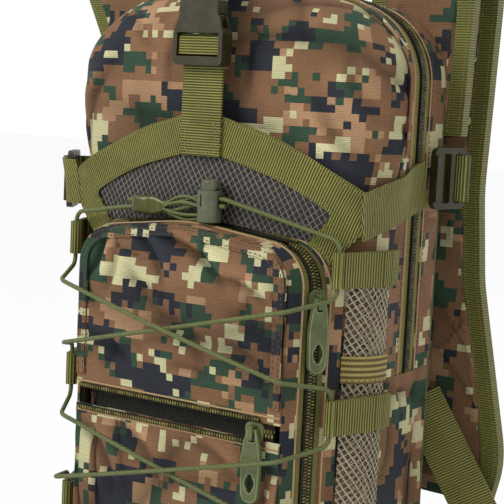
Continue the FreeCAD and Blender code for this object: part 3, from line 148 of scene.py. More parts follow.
class Network:
    """Adds nodes to one shader tree."""

    def __init__(self, tree):
        self.nodes, self.links = tree.nodes, tree.links

    def plug(self, slot, item):
        """Link a term to a socket, or set the socket to a value."""
        if isinstance(item, Term):
            self.links.new(item.socket, slot)
        elif isinstance(item, tuple) and slot.type == "RGBA":
            slot.default_value = item + (1,)
        else:
            slot.default_value = item

    def make(self, kind, inputs=None, output=0, **settings):
        """Add a node with its settings, values and links, and give one of its outputs."""
        node = self.nodes.new("ShaderNode" + kind)
        for key, value in settings.items():
            setattr(node, key, value)
        for key, item in (inputs or {}).items():
            self.plug(node.inputs[key], item)
        return Term(self, node.outputs[output])

    def outputs(self, kind, inputs=None):
        """Add a node and give all of its outputs by name."""
        node = self.make(kind, inputs).socket.node
        return {socket.name: Term(self, socket) for socket in node.outputs}

    def point(self):
        return self.make("TexCoord", output="Object")

    def flat(self):
        return self.make("UVMap", uv_map="flat")

    def split(self, vector):
        return tuple(self.outputs("SeparateXYZ", {0: vector}).values())

    def join(self, x, y, z=0.0):
        return self.make("CombineXYZ", {"X": x, "Y": y, "Z": z})

    def noise(self, vector, scale, detail=2.0, rough=0.5):
        return self.make("TexNoise", {"Vector": vector, "Scale": scale,
                                      "Detail": detail, "Roughness": rough})

    def fleck(self, scale, *settings):
        """Noise that is fixed in the piece itself."""
        return self.noise(self.point(), scale, *settings)

    def mix(self, factor, first, second):
        return self.make("Mix", {0: factor, 6: first, 7: second}, output=2,
                         data_type="RGBA")

    def scale(self, colour, factor):
        """Make a colour brighter or darker."""
        return self.make("VectorMath", {0: colour, 3: factor}, operation="SCALE")


class Shader(Network):
    """Builds one material around a Principled BSDF."""

    def __init__(self, name):
        self.material = bpy.data.materials.new(name)
        self.material.use_nodes = True
        super().__init__(self.material.node_tree)
        self.surface = self.nodes["Principled BSDF"]

    def bump(self, height, distance):
        """Distance is the height in metres of a rise of one."""
        self.plug(self.surface.inputs["Normal"],
                  self.make("Bump", {"Height": height, "Distance": distance}))

    def paint(self, colour, rough, **others):
        """Set the surface's colour, roughness and other sockets, and give the material."""
        self.plug(self.surface.inputs["Base Color"], colour)
        self.plug(self.surface.inputs["Roughness"], rough)
        for key, value in others.items():
            label = key.replace("_", " ").title().replace("Ior", "IOR")
            self.plug(self.surface.inputs[label], value)
        return self.material


def tone(code):
    """A linear colour from a six-digit screen colour."""
    values = [int(code[i:i + 2], 16) / 255 for i in (0, 2, 4)]
    return tuple(v / 12.92 if v <= 0.04045 else ((v + 0.055) / 1.055) ** 2.4
                 for v in values)


# ---------------------------------------------------------------- materials

TURN = 2 * math.pi


def wave(distance, pitch):
    """From minus one to one and back, once in each pitch."""
    return (distance * (TURN / pitch)).sine()


# Patches of the camouflage, over an uneven brown: the seed, scale, stretch and looseness
# of each colour's field, and the level above which the colour shows.
PATCHES = {
    "a3805f": (1.9, 42.0, 0.8, 0.06, 0.60),
    "2f4534": (3.3, 46.0, 0.75, 0.08, 0.565),
    "25282f": (5.1, 48.0, 0.7, 0.10, 0.58),
    "c0bb90": (7.7, 54.0, 0.75, 0.12, 0.625),
}


def camo_material(name, shift=0.0, shade=1.0):
    """Blocky camouflage in brown, charcoal, green and cream on a fine weave, with painted
    shade in creases and folds.
    """
    s = Shader(name)
    u, v, _ = s.split(s.flat())
    cell = 0.0039
    cu, cv = (u / cell).floor(), (v / cell).floor()
    speck = s.make("TexWhiteNoise", {"Vector": s.join(cu, cv, shift)},
                   noise_dimensions="3D") - 0.5

    def field(seed, scale, wide, loose):
        place = s.join(cu * (cell * wide), cv * cell, seed + shift)
        return s.noise(place, scale, 1.0, 0.55) + speck * loose

    colour = s.mix(field(0.4, 50.0, 1.0, 0.0), tone("684a32"), tone("8c694c"))
    for patch, (*settings, least) in PATCHES.items():
        colour = s.mix(field(*settings) > least, colour, tone(patch))
    fibre = s.fleck(1500.0)
    across = wave(v, 0.0011)
    grain = s.noise(s.join(u * 0.35, v), 2600.0, 1.0)
    weave = across * 0.5 + wave(u, 0.0008) * 0.25
    cloud = s.fleck(45.0, 3.0)
    s.bump(weave * 0.4 + fibre * 0.9 + cloud * 3.0, 0.0004)
    hollow = s.make("Attribute", output="Fac", attribute_name="hollow")
    # Painted shade: shade scales a whole copy of the camouflage darker.
    light = (fibre * 0.3 + grain * 0.5 + across * 0.13 + cloud * 0.4 + 0.40) * shade
    # Painted shade and light: darker where the soft copy lies in a crease or fold, paler on
    # the ridges beside the folds.
    light = light * (1 - hollow * 0.55)
    return s.paint(s.scale(colour, light), 0.8, specular_ior_level=0.25)


def webbing_material(name, light, mid, dark, pitch, height=0.0003):
    """Ribs across the band and finer threads between them: u runs along its length."""
    s = Shader(name)
    u, v, _ = s.split(s.flat())
    rib = wave(u, pitch) * 0.5 + 0.5
    thread = (v * (TURN / (pitch * 0.6)) + (u / pitch).floor() * 3.1).sine() * 0.5 + 0.5
    fibre = s.fleck(1400.0)
    worn = s.fleck(60.0, 3.0)
    level = rib * 0.8 + thread * 0.12 + fibre * 0.3 + worn * 0.3 - 0.28
    colour = s.mix(level.ramp(0.05, 0.5), tone(dark), tone(mid))
    colour = s.mix(level.ramp(0.5, 0.95), colour, tone(light))
    s.bump(rib + thread * 0.3 + fibre * 0.4, height)
    return s.paint(colour, 0.7, specular_ior_level=0.3)


def moulded_material(name, code, rough, worn="", grain=0.00004):
    """Moulded plastic with a fine grain and paler rubbed patches."""
    s = Shader(name)
    cloud = s.fleck(130.0, 4.0, 0.6)
    fine = s.fleck(1800.0)
    colour = s.mix(cloud.ramp(0.35, 0.8), tone(code), tone(worn or code))
    s.bump(fine + cloud * 0.6, grain)
    return s.paint(colour, cloud * 0.25 + (rough - 0.12), specular_ior_level=0.35)


def padded_material(name, code, dark):
    """Plain woven lining with a visible square weave."""
    s = Shader(name)
    u, v, _ = s.split(s.flat())
    weave = wave(u, 0.0014) * wave(v, 0.0014)
    fibre = s.fleck(900.0)
    s.bump(weave * 0.5 + fibre, 0.0003)
    return s.paint(s.mix(fibre.ramp(0.3, 0.7), tone(dark), tone(code)), 0.9)


def mesh_material(name, pitch, strand, ground, thick, openness):
    """Knitted net: pale slanting strands with weaker ones across, over a dark ground."""
    s = Shader(name)
    x, z, _ = s.split(s.flat())
    a = (x * 0.87 + z * 0.5) / pitch
    b = (x * -0.62 + z * 0.78) / (pitch * 1.05)
    main = (a.part() - 0.5).size() < thick * 0.5
    cross = (b.part() - 0.5).size() < thick * 0.4
    fibre = s.fleck(1500.0)
    worn = s.fleck(120.0)
    pale = s.mix(fibre, tone(strand), tone(ground))
    colour = s.mix(cross * (worn * 0.55), tone(ground), tone(strand))
    colour = s.mix(main * (worn * 0.5 + 0.5), colour, pale)
    strands = main.larger(cross)
    s.bump(strands, 0.0003)
    return s.paint(colour, 0.65, alpha=strands.larger(1 - openness))


def coil_material(name, code, dark):
    """Nylon coil thread, a little uneven in colour."""
    s = Shader(name)
    cloud = s.fleck(260.0)
    s.bump(s.fleck(2400.0, 1.0), 0.00005)
    return s.paint(s.mix(cloud.ramp(0.35, 0.65), tone(dark), tone(code)), 0.5,
                   specular_ior_level=0.25)


def tape_material(name):
    """Zip tape with fine ribs that run along it."""
    s = Shader(name)
    u, v, _ = s.split(s.flat())
    rib = wave(v, 0.0011) * 0.5 + 0.5
    fibre = s.fleck(1500.0)
    s.bump(rib + fibre, 0.00015)
    level = rib * 0.5 + fibre * 0.5
    return s.paint(s.mix(level, tone("4a461c"), tone("8b8143")), 0.78)


def cord_material(name):
    """A braided cover with small twill marks."""
    s = Shader(name)
    x, y, z = s.split(s.point())
    braid = wave(x + z * 0.9 + y, 0.0014) * wave(x - z * 0.9 + y, 0.0014) * 0.5 + 0.5
    fibre = s.fleck(900.0)
    s.bump(braid + fibre * 0.5, 0.00018)
    level = (braid * 0.6 + fibre * 0.4).ramp(0.2, 0.75)
    return s.paint(s.mix(level, tone("313b17"), tone("6b733a")), 0.55)


def thread_material(name, code, dark):
    """Sewing thread and thin edging, flecked with a darker shade."""
    s = Shader(name)
    fibre = s.fleck(2500.0, 1.0)
    s.bump(fibre, 0.00008)
    return s.paint(s.mix(fibre, tone(dark), tone(code)), 0.6)


def metal_material(name):
    """Plain steel wire."""
    s = Shader(name)
    fine = s.fleck(900.0)
    s.bump(fine, 0.00002)
    return s.paint(s.mix(fine, tone("8e8f90"), tone("b9babb")), 0.3, metallic=1.0)


# Every finish by its name, with the function that makes it and its own values.
paints = {name: make(name, *values) for name, make, *values in (
    ("camo", camo_material),
    # The shoulder straps' camouflage: its pattern shifted and painted 8% darker as painted
    # shade.
    ("camo_back", camo_material, 13.0, 0.92),
    ("webbing", webbing_material, "969250", "5d5c26", "34350f", 0.0015),
    ("webbing_fine", webbing_material, "989049", "535420", "2a2c0b", 0.0014, 0.0002),
    ("binding", webbing_material, "827f40", "5c5b27", "3e3f16", 0.0014, 0.0002),
    ("elastic", webbing_material, "ac9c60", "80703e", "4a3f1c", 0.0030),
    ("lining", padded_material, "33342a", "1f201a"),
    ("padding", padded_material, "5c5f3c", "44472a"),
    ("zip_tape", tape_material),
    ("zip_teeth", coil_material, "1d1b0e", "100f08"),
    ("coil", coil_material, "8d8549", "5b5529"),
    ("coil_dark", coil_material, "6d6636", "3c371a"),
    ("mesh", mesh_material, 0.0029, "b9af9f", "100c0a", 0.17, 0.10),
    ("net", mesh_material, 0.0027, "dcd3b6", "6b5d45", 0.24, 0.86),
    ("hardware", moulded_material, "28250f", 0.38, "38351c"),
    ("pull", moulded_material, "545c37", 0.45, "656d46"),
    ("lock", moulded_material, "50533f", 0.3, "66694f"),
    ("keeper", moulded_material, "444414", 0.2, "5a5a24", 0.00001),
    # Painted highlight: the pulls' rims are painted paler than the pulls, for the light on
    # their edges.
    ("rim", moulded_material, "707a52", 0.4, "848f66"),
    # Painted shade: the near-black strands in the lock's windows stand for the shade inside
    # the barrel.
    ("slot", moulded_material, "15160f", 0.8),
    ("cord", cord_material),
    ("spring", metal_material),
    ("stitch", thread_material, "8a8f48", "5c6230"),
    ("stitch_dark", thread_material, "5f4836", "3d2d21"),
    # Cream piping on the pocket zips; beside the main zip the same pale strand is a painted
    # highlight.
    ("edging", thread_material, "b39a6c", "8a6a48"),
)}
# Nodes that have a finish of their own, by the start of their names.
FINISHES = {
    "net": ("side_net",),
    "webbing_fine": ("flap_webbing", "centre_strap", "haul_loop"),
    "camo_back": ("shoulder_strap",),
    "lock": ("cord_lock_barrel", "cord_lock_button"),
    "binding": ("strap_binding",),
    "camo": ("front_piping",),
}


# ---------------------------------------------------------------- flat coordinates

def read(items, attribute, width=1, kind=float):
    """One attribute of a mesh's vertices, corners or faces, a row for each."""
    values = np.empty(len(items) * width, kind)
    items.foreach_get(attribute, values)
    return values.reshape(-1, width) if width > 1 else values


def unit(rows, least=1e-12):
    """Rows scaled to a length of one, where they have a length."""
    return rows / np.maximum(np.linalg.norm(rows, axis=1, keepdims=True), least)


def flatten(obj, rule):
    """Store flat coordinates in metres: rule(points, normals) gives u and v."""
    mesh = obj.data
    points = read(mesh.vertices, "co", 3)[read(mesh.loops, "vertex_index", kind=np.int64)]
    corners = read(mesh.polygons, "loop_total", kind=np.int64)
    normals = np.repeat(read(mesh.polygons, "normal", 3), corners, axis=0)
    u, v = rule(points, normals)
    layer = mesh.uv_layers.get("flat") or mesh.uv_layers.new(name="flat")
    layer.data.foreach_set("uv", np.stack([u, v], 1).astype(np.float32).ravel())
    return obj


def boxed(points, normals):
    """Lay each face flat along the axis that it faces most, the sides shifted apart."""
    axis = np.abs(normals).argmax(1)
    x, y, z = points.T
    sideways = y * np.sign(normals[:, 0]) + 0.4
    u = np.where(axis == 0, sideways, np.where(axis == 1, x, x + 0.7))
    v = np.where(axis == 2, y + 0.9, z)
    return u, v


def along(direction):
    """Lengthwise coordinate along a fixed direction, and across it."""
    ahead = np.array(direction, float)
    ahead /= np.linalg.norm(ahead)

    def rule(points, normals):
        side = np.cross(normals, ahead)
        return points @ ahead, (points * side).sum(1)
    return rule


def chevron(points, normals):
    """Along the two sloping branches of the flap's border."""
    x, y, z = points.T
    slope = 0.36
    stretch = math.sqrt(1 + slope * slope)
    return (np.abs(x) - z * slope) / stretch, (z + np.abs(x) * slope) / stretch


def strip_round(half, top, radius):
    """A wall sewn as one strip round an arch: across it, and along the arch."""
    corner = top - radius
    straight = half - radius
    bend_length = radius * math.pi / 2
    arch = (half / MM, top / MM, radius / MM)

    def rule(points, normals):
        x, y, z = points.T
        reach = np.abs(x)
        turn = np.arctan2(np.maximum(z - corner, 0), np.maximum(reach - straight, 1e-6))
        bend = (z > corner) & (reach > straight)
        length = np.where(bend, corner + radius * turn, np.minimum(z, corner))
        crown = (z > corner) & (reach <= straight)
        length = np.where(crown, corner + bend_length + straight - reach, length)
        whole = 2 * (corner + bend_length + straight)
        length = np.where(x < 0, whole - length, length)
        deep = np.minimum(arch_distance(points / MM, *arch) * MM, 0.002)
        return y + deep, length
    return rule


def folded_front(front, half, top, radius):
    """A front panel that turns back smoothly round its edges."""
    def rule(points, normals):
        x, y, z = points.T
        q = np.stack([np.maximum(np.abs(x) - (half - radius), 0) * np.sign(x),
                      np.maximum(z - (top - radius), 0)], 1)
        q = unit(q, 1e-9)
        back = np.maximum(y - front, 0)
        return x + q[:, 0] * back, z + q[:, 1] * back
    return rule


def arch_distance(p, half, top, radius):
    """Signed distance outside an arched outline in the plane of X and Z."""
    q = np.stack([np.abs(p[:, 0]) - (half - radius), p[:, 2] - (top - radius)], 1)
    return (np.linalg.norm(np.maximum(q, 0), axis=1) + np.minimum(q.max(1), 0)) - radius


def round_side(slope=0.0):
    """Along a band that runs round the bag's side, rising by the given slope."""
    def rule(points, normals):
        x, y, z = points.T
        run = np.where(np.abs(normals[:, 1]) > np.abs(normals[:, 0]), x, y)
        return run * math.sqrt(1 - slope * slope) + z * slope, z
    return rule


# The middle and radius of the bag's rounded front corners in plan, in metres.
CORNER_X, CORNER_Y, CORNER_RADIUS = 0.072, -0.016, 0.025


def upright(points, normals):
    """Height, and the way round the bag's front corner in plan."""
    x, y, z = points.T
    angle = np.arctan2(-(y - CORNER_Y), np.abs(x) - CORNER_X)
    return z, angle * CORNER_RADIUS


SIDES = ("right", "left")
# Half the width, the top and the corner radius of the sewn arches, in metres.
BAG_ARCH = (0.094, 0.410, 0.05)
POCKET_ARCH = (0.076, 0.283, 0.025)
POCKET_REAR_ARCH = (0.080, 0.285, 0.027)
POCKET_PANEL_ARCH = (0.070, 0.281, 0.022)
# How the flat coordinates of each piece of webbing and cloth run; the others are boxed.
LENGTHWISE = {
    "centre_strap_lower": along((0, 0, 1)), "centre_strap_upper": along((0, 1, 0)),
    "haul_loop": along((1, 0, 1)), "flap_webbing": chevron,
    "front_gusset": strip_round(*BAG_ARCH), "rear_gusset": strip_round(*BAG_ARCH),
    "main_zip_tape": strip_round(*BAG_ARCH),
    "pocket_front_gusset": strip_round(*POCKET_ARCH),
    "pocket_rear_gusset": strip_round(*POCKET_REAR_ARCH),
    "pocket_zip_tape": strip_round(*POCKET_ARCH),
    "front_panel": folded_front(-0.038, *BAG_ARCH),
    "pocket_upper_panel": folded_front(-0.068, *POCKET_PANEL_ARCH),
    "adjuster_right": along((0.48, 0.14, -0.87)),
    "adjuster_left": along((-0.48, 0.14, -0.87)),
}
for side in SIDES:
    LENGTHWISE["side_strap_" + side] = round_side(0.25)
    LENGTHWISE["cord_loops_" + side] = round_side()
    LENGTHWISE["lock_anchor_" + side] = along((1, 0, 0))
    LENGTHWISE["net_elastic_" + side] = upright
    LENGTHWISE["strap_binding_" + side] = along((0, 0, 1))


def paint_nodes():
    """Give each node its finish and its flat coordinates."""
    slots = {part["node"]: part["material_slot"] for part in frame["record"]["subparts"]}
    for name, obj in nodes.items():
        slot = slots[name]
        for finish, starts in FINISHES.items():
            if name.startswith(starts):
                slot = finish
        obj.data.materials.clear()
        obj.data.materials.append(paints[slot])
        flatten(obj, LENGTHWISE.get(name, boxed))


paint_nodes()


# ---------------------------------------------------------------- soft shape of the bag

def ease(values, low, high):
    """Nought below low, one above high, smooth between."""
    t = np.clip((values - low) / (high - low), 0, 1)
    return t * t * (3 - 2 * t)


def hump(values, middle, reach):
    """One in the middle, falling smoothly to nought at the given reach."""
    t = np.clip(1 - ((values - middle) / reach) ** 2, 0, 1)
    return t * t * (3 - 2 * t)


def outward(p):
    """Directions away from the bag, as from a rounded box."""
    centre, half = np.array((0, 3, 208)), np.array((94, 41, 208))
    q = (p - centre) / half
    ahead = np.sign(q) * np.abs(q) ** 7 / half
    ahead[:, 1] -= 0.002 * (np.abs(p[:, 1] + 55) < 16) * (np.abs(p[:, 0]) < 70)
    return unit(ahead, 1e-9)


# In millimetres: how far the shoulders of the bag stand out to the side and forwards, how
# far its front does above the flap, and how far the pocket does above and below its seam.
SHOULDER_SIDE, SHOULDER_FRONT, FRONT_FILL, POCKET_FILL = 7, 2, 5, 3.2


def swell(p):
    """How far the filled bag stands out, in millimetres, at points in millimetres."""
    x, y, z = p.T
    move = np.zeros_like(p)
    side = ease(np.abs(x), 55, 92) * (1 - ease(y, -12, 4))
    shoulder = side * (ease(z, 284, 335) * (1 - ease(z, 362, 404)))
    move[:, 0] += np.sign(x) * SHOULDER_SIDE * shoulder
    move[:, 1] -= SHOULDER_FRONT * shoulder
    panel = ease(-y, 20, 36) * (1 - ease(-y, 42, 47))
    move[:, 1] -= FRONT_FILL * panel * hump(x, 0, 98) * hump(z, 352, 78)
    pocket = ease(-y, 44, 66) * np.clip(1 - (x / 76) ** 2, 0, 1)
    move[:, 1] -= POCKET_FILL * pocket * (hump(z, 232, 48) + hump(z, 98, 82))
    return move


CREASE_LENGTHS = (34, 52, 23)  # in millimetres


def creases(p, seed):
    """Soft valleys between nought and one, wandering in a few directions."""
    rng = np.random.default_rng(seed)
    depth = np.zeros(len(p))
    for length in CREASE_LENGTHS:
        ahead = rng.normal(size=3)
        ahead /= np.linalg.norm(ahead)
        bend = rng.normal(size=3) * 0.6
        wander = np.sin(p @ (bend * 2 * np.pi / (length * 3)) + rng.uniform(0, 6))
        valley = np.sin(p @ ahead * (np.pi / length) + 1.6 * wander + rng.uniform(0, 6))
        place = np.sin(p @ (rng.normal(size=3) * np.pi / (length * 2.2)) + rng.uniform(0, 6))
        depth += (1 - np.abs(valley)) ** 3 * ease(place, -0.1, 0.9)
    return np.minimum(depth, 1.2)


# Each fold runs between two points in X and Z, with its half width and depth, in
# millimetres.
FRONT_FOLDS = (
    (-86, 312, -62, 372, 5, 2.4), (-90, 330, -74, 352, 4, 1.8), (-70, 392, -40, 368, 5, 1.5),
    (86, 316, 60, 352, 5, 1.8), (88, 340, 74, 378, 5, 1.6), (40, 404, 52, 372, 5, 1.2),
    (-30, 350, -18, 396, 4, 1.2), (20, 352, 30, 392, 4, 1.2),
)
POCKET_FOLDS = (
    (-50, 273, -63, 246, 4, 3.0), (-42, 270, -50, 238, 4, 1.6), (-28, 274, -8, 246, 4.5, 2.8),
    (-14, 274, 32, 250, 4, 3.4), (24, 256, 58, 244, 4, 2.4), (58, 258, 60, 208, 4, 1.8),
    (-60, 216, -26, 202, 5, 2.0), (-8, 232, 22, 208, 9, 2.0), (34, 222, 60, 200, 5, 1.8),
    (-62, 168, -36, 128, 6, 2.8), (-40, 172, -6, 140, 6, 2.2), (8, 170, 44, 150, 5, 2.0),
    (60, 160, 34, 110, 6, 2.4), (-62, 92, -30, 60, 6, 2.4), (62, 70, 26, 48, 6, 2.4),
    (-20, 108, 22, 86, 7, 1.6),
)
FOLDS = {"front_panel": FRONT_FOLDS, "pocket_upper_panel": POCKET_FOLDS,
         "lower_pocket_panel": POCKET_FOLDS}


def folds(p, lines):
    """Sewn-in folds: a valley along each line with a soft ridge beside it."""
    depth = np.zeros(len(p))
    spot = p[:, (0, 2)]
    for x0, z0, x1, z1, wide, deep in lines:
        start, end = np.array((x0, z0), float), np.array((x1, z1), float)
        span = np.linalg.norm(end - start)
        ahead = (end - start) / span
        along_line = (spot - start) @ ahead
        bend = 0.10 * span * np.sin(np.clip(along_line / span, 0, 1) * math.pi)
        across = (spot - start) @ np.array((-ahead[1], ahead[0])) - bend
        fade = ease(along_line, -0.15 * span, 0.25 * span)
        fade = fade * (1 - ease(along_line, 0.6 * span, 1.1 * span))
        shape = np.exp(-(across / (wide * 0.6)) ** 2)
        shape = shape - 0.5 * np.exp(-((across - wide * 1.3) / (wide * 1.0)) ** 2)
        depth += deep * fade * shape
    return depth


def cut_triangles(points, faces, pitch):
    """Cut triangles along evenly spaced planes in X, Y and Z, so that they can bend."""
    for axis in range(3):
        while True:
            level = points[faces][:, :, axis] / pitch
            low = np.floor(level.min(1) + 1 + 1e-6)
            high = np.ceil(level.max(1) - 1 - 1e-6)
            crossing = low <= high
            if not crossing.any():
                break
            kept, split = faces[~crossing], faces[crossing]
            middle = np.floor((low + high) / 2)[crossing]
            side = level[crossing] - middle[:, None]
            side[np.abs(side) < 1e-6] = 0
            sign = np.sign(side)
            touching = (sign == 0).any(1)
            lone = np.where(touching, (sign == 0).argmax(1),
                            (sign == -np.sign(sign.sum(1))[:, None]).argmax(1))
            order = (lone[:, None] + np.arange(3)) % 3
            split = np.take_along_axis(split, order, 1)
            side = np.take_along_axis(side, order, 1)
            a, b, c = split.T
            count = len(points)

            def between(i, j, one, two):
                share = (side[:, i] / (side[:, i] - side[:, j]))[:, None]
                return points[one] * (1 - share) + points[two] * share

            with np.errstate(divide="ignore", invalid="ignore"):
                on_ab, on_ac, on_bc = (between(0, 1, a, b), between(0, 2, a, c),
                                       between(1, 2, b, c))
            first = np.where(touching[:, None], on_bc, on_ab)
            points = np.vstack([points, first, on_ac[~touching]])
            p = count + np.arange(len(split))
            q = count + len(split) + np.cumsum(~touching) - 1
            halves = [np.stack(corners, 1)[touching] for corners in ((a, b, p), (a, p, c))]
            thirds = [np.stack(corners, 1)[~touching]
                      for corners in ((a, p, q), (p, b, c), (p, c, q))]
            faces = np.vstack([kept] + halves + thirds)
    return points, faces


def weld(points, faces):
    """Join points that lie together and drop triangles that have no area."""
    keys = np.round(points * 1e6).astype(np.int64)
    _, first, place = np.unique(keys, axis=0, return_index=True, return_inverse=True)
    faces = place.ravel()[faces]
    a, b, c = faces.T
    return points[first], faces[(a != b) & (b != c) & (a != c)]


def skin(obj):
    """A surface's points in metres and its triangles, joined up."""
    mesh = obj.data
    mesh.calc_loop_triangles()
    return weld(read(mesh.vertices, "co", 3),
                read(mesh.loop_triangles, "vertices", 3, np.int64))


def distance_from(p, node):
    """How far points lie from another node, in millimetres."""
    others = read(nodes[node].data.vertices, "co", 3) / MM
    tree = KDTree(len(others))
    for index, spot in enumerate(others):
        tree.insert(spot, index)
    tree.balance()
    return np.array([tree.find(spot)[2] for spot in p])


def face_normals(p, faces):
    """Outward directions of triangles, each as long as twice its area."""
    corners = p[faces]
    return np.cross(corners[:, 1] - corners[:, 0], corners[:, 2] - corners[:, 0])


def vertex_normals(p, faces):
    """Outward directions at points, from the triangles that meet there."""
    flat = face_normals(p, faces)
    total = np.zeros_like(p)
    for i in range(3):
        np.add.at(total, faces[:, i], flat)
    return unit(total)


def build_mesh(name, points, faces):
    """A mesh from points in metres and faces with the same number of corners."""
    mesh = bpy.data.meshes.new(name)
    mesh.vertices.add(len(points))
    mesh.vertices.foreach_set("co", points.astype(np.float32).ravel())
    mesh.loops.add(faces.size)
    mesh.loops.foreach_set("vertex_index", faces.astype(np.int32).ravel())
    mesh.polygons.add(len(faces))
    size = faces.shape[1]
    mesh.polygons.foreach_set("loop_start", np.arange(0, faces.size, size, dtype=np.int32))
    mesh.update(calc_edges=True)
    mesh.validate()
    return mesh


def add_object(name, mesh):
    obj = bpy.data.objects.new(name, mesh)
    bpy.context.scene.collection.objects.link(obj)
    return obj


def baked(obj):
    """A plain mesh of an object as its modifiers leave it."""
    bpy.context.view_layer.update()
    graph = bpy.context.evaluated_depsgraph_get()
    return bpy.data.meshes.new_from_object(obj.evaluated_get(graph))


def settle(obj):
    """Bake an object's modifiers into its mesh."""
    mesh = baked(obj)
    obj.modifiers.clear()
    obj.data = mesh


def move_points(mesh, p):
    """Put a mesh's points at new places in millimetres."""
    mesh.vertices.foreach_set("co", (p * MM).astype(np.float32).ravel())
    mesh.update()


# Where the zips lie, in millimetres: two in Y, and the lower one in Z.
MAIN_ZIP, POCKET_ZIP, LOWER_ZIP = 13, -52.3, 181.5


def calm(p):
    """One on open fabric, falling to nought beside a zip, so that sliders still fit."""
    x, y, z = p.T
    main = ease(np.abs(y - MAIN_ZIP), 9, 20) + (z < 200)
    pocket = ease(np.abs(y - POCKET_ZIP), 8, 13) + (y > -40)
    lower = ease(np.abs(z - LOWER_ZIP), 6, 18) + (y > -62)
    return np.clip(main, 0, 1) * np.clip(pocket, 0, 1) * np.clip(lower, 0, 1)


MOST_TRIANGLES = 160000
# In millimetres: how far a strap's padding stands out, how wide its flat edge is, how much
# the lacing is slimmed, and the hollow that gets the darkest painted shade.
STRAP_RISE, STRAP_EDGE, CORD_SLIMMING, DEEPEST_HOLLOW = 1.7, 17, 0.3, 2.6


def softened(node, p, faces, depth, seed):
    """Where a fabric's points go, and how deep each of them lies in a hollow, which also sets
    its painted shade.
    """
    moved = p + swell(p)
    if node == "bungee_cord":
        moved -= vertex_normals(p, faces) * CORD_SLIMMING
    if node.startswith("shoulder_strap"):
        away = distance_from(p, node.replace("shoulder_strap", "strap_binding"))
        moved += vertex_normals(p, faces) * (STRAP_RISE * ease(away, 0.5, STRAP_EDGE))[:, None]
    hollow = np.zeros(len(p))
    if depth:
        hollow = depth * creases(p, seed) * calm(p)
        moved -= outward(p) * hollow[:, None]
    if node in FOLDS:
        sewn = folds(p, FOLDS[node]) * calm(p)
        moved[:, 1] += sewn
        hollow += sewn
    return moved, hollow


def soften(node, pitch, depth, seed):
    """A finer copy of a fabric node that swells and creases, in place of the node."""
    points, faces = weld(*cut_triangles(*skin(nodes[node]), pitch * MM))
    mesh = build_mesh(node + "_cloth", points, faces)
    obj = add_object(node + "_cloth", mesh)
    flatten(obj, LENGTHWISE.get(node, boxed))
    moved, hollow = softened(node, points / MM, faces, depth, seed)
    # Painted shade: the camouflage reads this attribute and is darkened where it is high,
    # lightened where it is below nought.
    layer = mesh.attributes.new("hollow", "FLOAT", "POINT")
    shade = np.clip(hollow / DEEPEST_HOLLOW, -0.4, 1)
    layer.data.foreach_set("value", shade.astype(np.float32))
    move_points(mesh, moved)
    count = len(mesh.polygons)
    if count > MOST_TRIANGLES:
        thinning = obj.modifiers.new("thin", "DECIMATE")
        thinning.ratio = MOST_TRIANGLES / count
        settle(obj)
    obj.data.shade_smooth()
    obj.data.set_sharp_from_angle(angle=math.radians(38))
    obj.data.materials.append(nodes[node].data.materials[0])
    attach(obj, "pack")
    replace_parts(obj, node)


# Creased panels: the pitch of the cuts and the creases' depth in millimetres, and a seed.
PANELS = {
    "front_panel": (3, 2.2, 3), "front_gusset": (3, 1.2, 4),
    "rear_gusset": (3, 1.4, 5), "lower_gusset": (4, 2.4, 6),
    "pocket_front_gusset": (3.5, 0.5, 7), "pocket_rear_gusset": (3.5, 0.7, 8),
    "pocket_upper_panel": (1.8, 2.0, 9), "pocket_seam_band": (3, 0.3, 10),
    "lower_pocket_panel": (2.2, 2.4, 11), "pocket_divider": (6, 0.6, 16),
    "shoulder_strap_right": (3, 1.2, 14), "shoulder_strap_left": (3, 1.2, 15),
}
# Smooth ones, by the start of their names: the pitch of the cuts.
SMOOTH_PANELS = {
    "front_piping": 3, "side_strap": 3, "cord_loops": 3,
    "main_zip_t": 4, "pocket_zip_t": 4, "lower_zip_teeth": 4, "flap": 4, "strap_binding": 4,
    "side_net": 4, "net_elastic": 4, "centre_strap": 4, "haul_loop": 4, "adjuster": 4,
    "lock_anchor": 4, "back_panel": 6, "divider_sleeve": 8, "bungee_cord": 12,
}


def make_cloth():
    """The cloth, webbing, nets and cord, which all follow the swelling of the bag."""
    for name in nodes:
        for start, pitch in SMOOTH_PANELS.items():
            if name.startswith(start):
                soften(name, pitch, 0, 0)
        if name in PANELS:
            soften(name, *PANELS[name])


make_cloth()


# ---------------------------------------------------------------- padded back

# In millimetres: how far a cover is drawn in before it is filled, the size of its cells,
# the reach of the filling, and the depth and width of the sewn channels.
PAD_INSET, PAD_CELL, PAD_REACH, CHANNEL_DEPTH, CHANNEL_WIDTH = 1.2, 4.5, 6.0, 3.0, 3.2
PAD_PRESSURE, PAD_STEPS = 4.0, 20


def box_of(node):
    """The corners of a node's box in millimetres."""
    low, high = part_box(node)
    return np.array(low) / MM, np.array(high) / MM


def fill_out(obj):
    """Blow a closed cover up with cloth physics, within a short reach."""
    before = read(obj.data.vertices, "co", 3)
    modifier = obj.modifiers.new("cloth", "CLOTH")
    cloth = modifier.settings
    cloth.quality = 5
    cloth.mass = 0.2
    cloth.effector_weights.gravity = 0
    cloth.use_pressure = True
    cloth.uniform_pressure_force = PAD_PRESSURE
    modifier.point_cache.frame_start, modifier.point_cache.frame_end = 1, PAD_STEPS
    scene = bpy.context.scene
    for moment in range(PAD_STEPS):
        scene.frame_set(moment + 1)
    step = read(baked(obj).vertices, "co", 3) - before
    obj.modifiers.clear()
    scene.frame_set(1)
    length = np.linalg.norm(step, axis=1, keepdims=True)
    step *= np.minimum(1, PAD_REACH * MM / np.maximum(length, 1e-9))
    move_points(obj.data, (before + step) / MM)


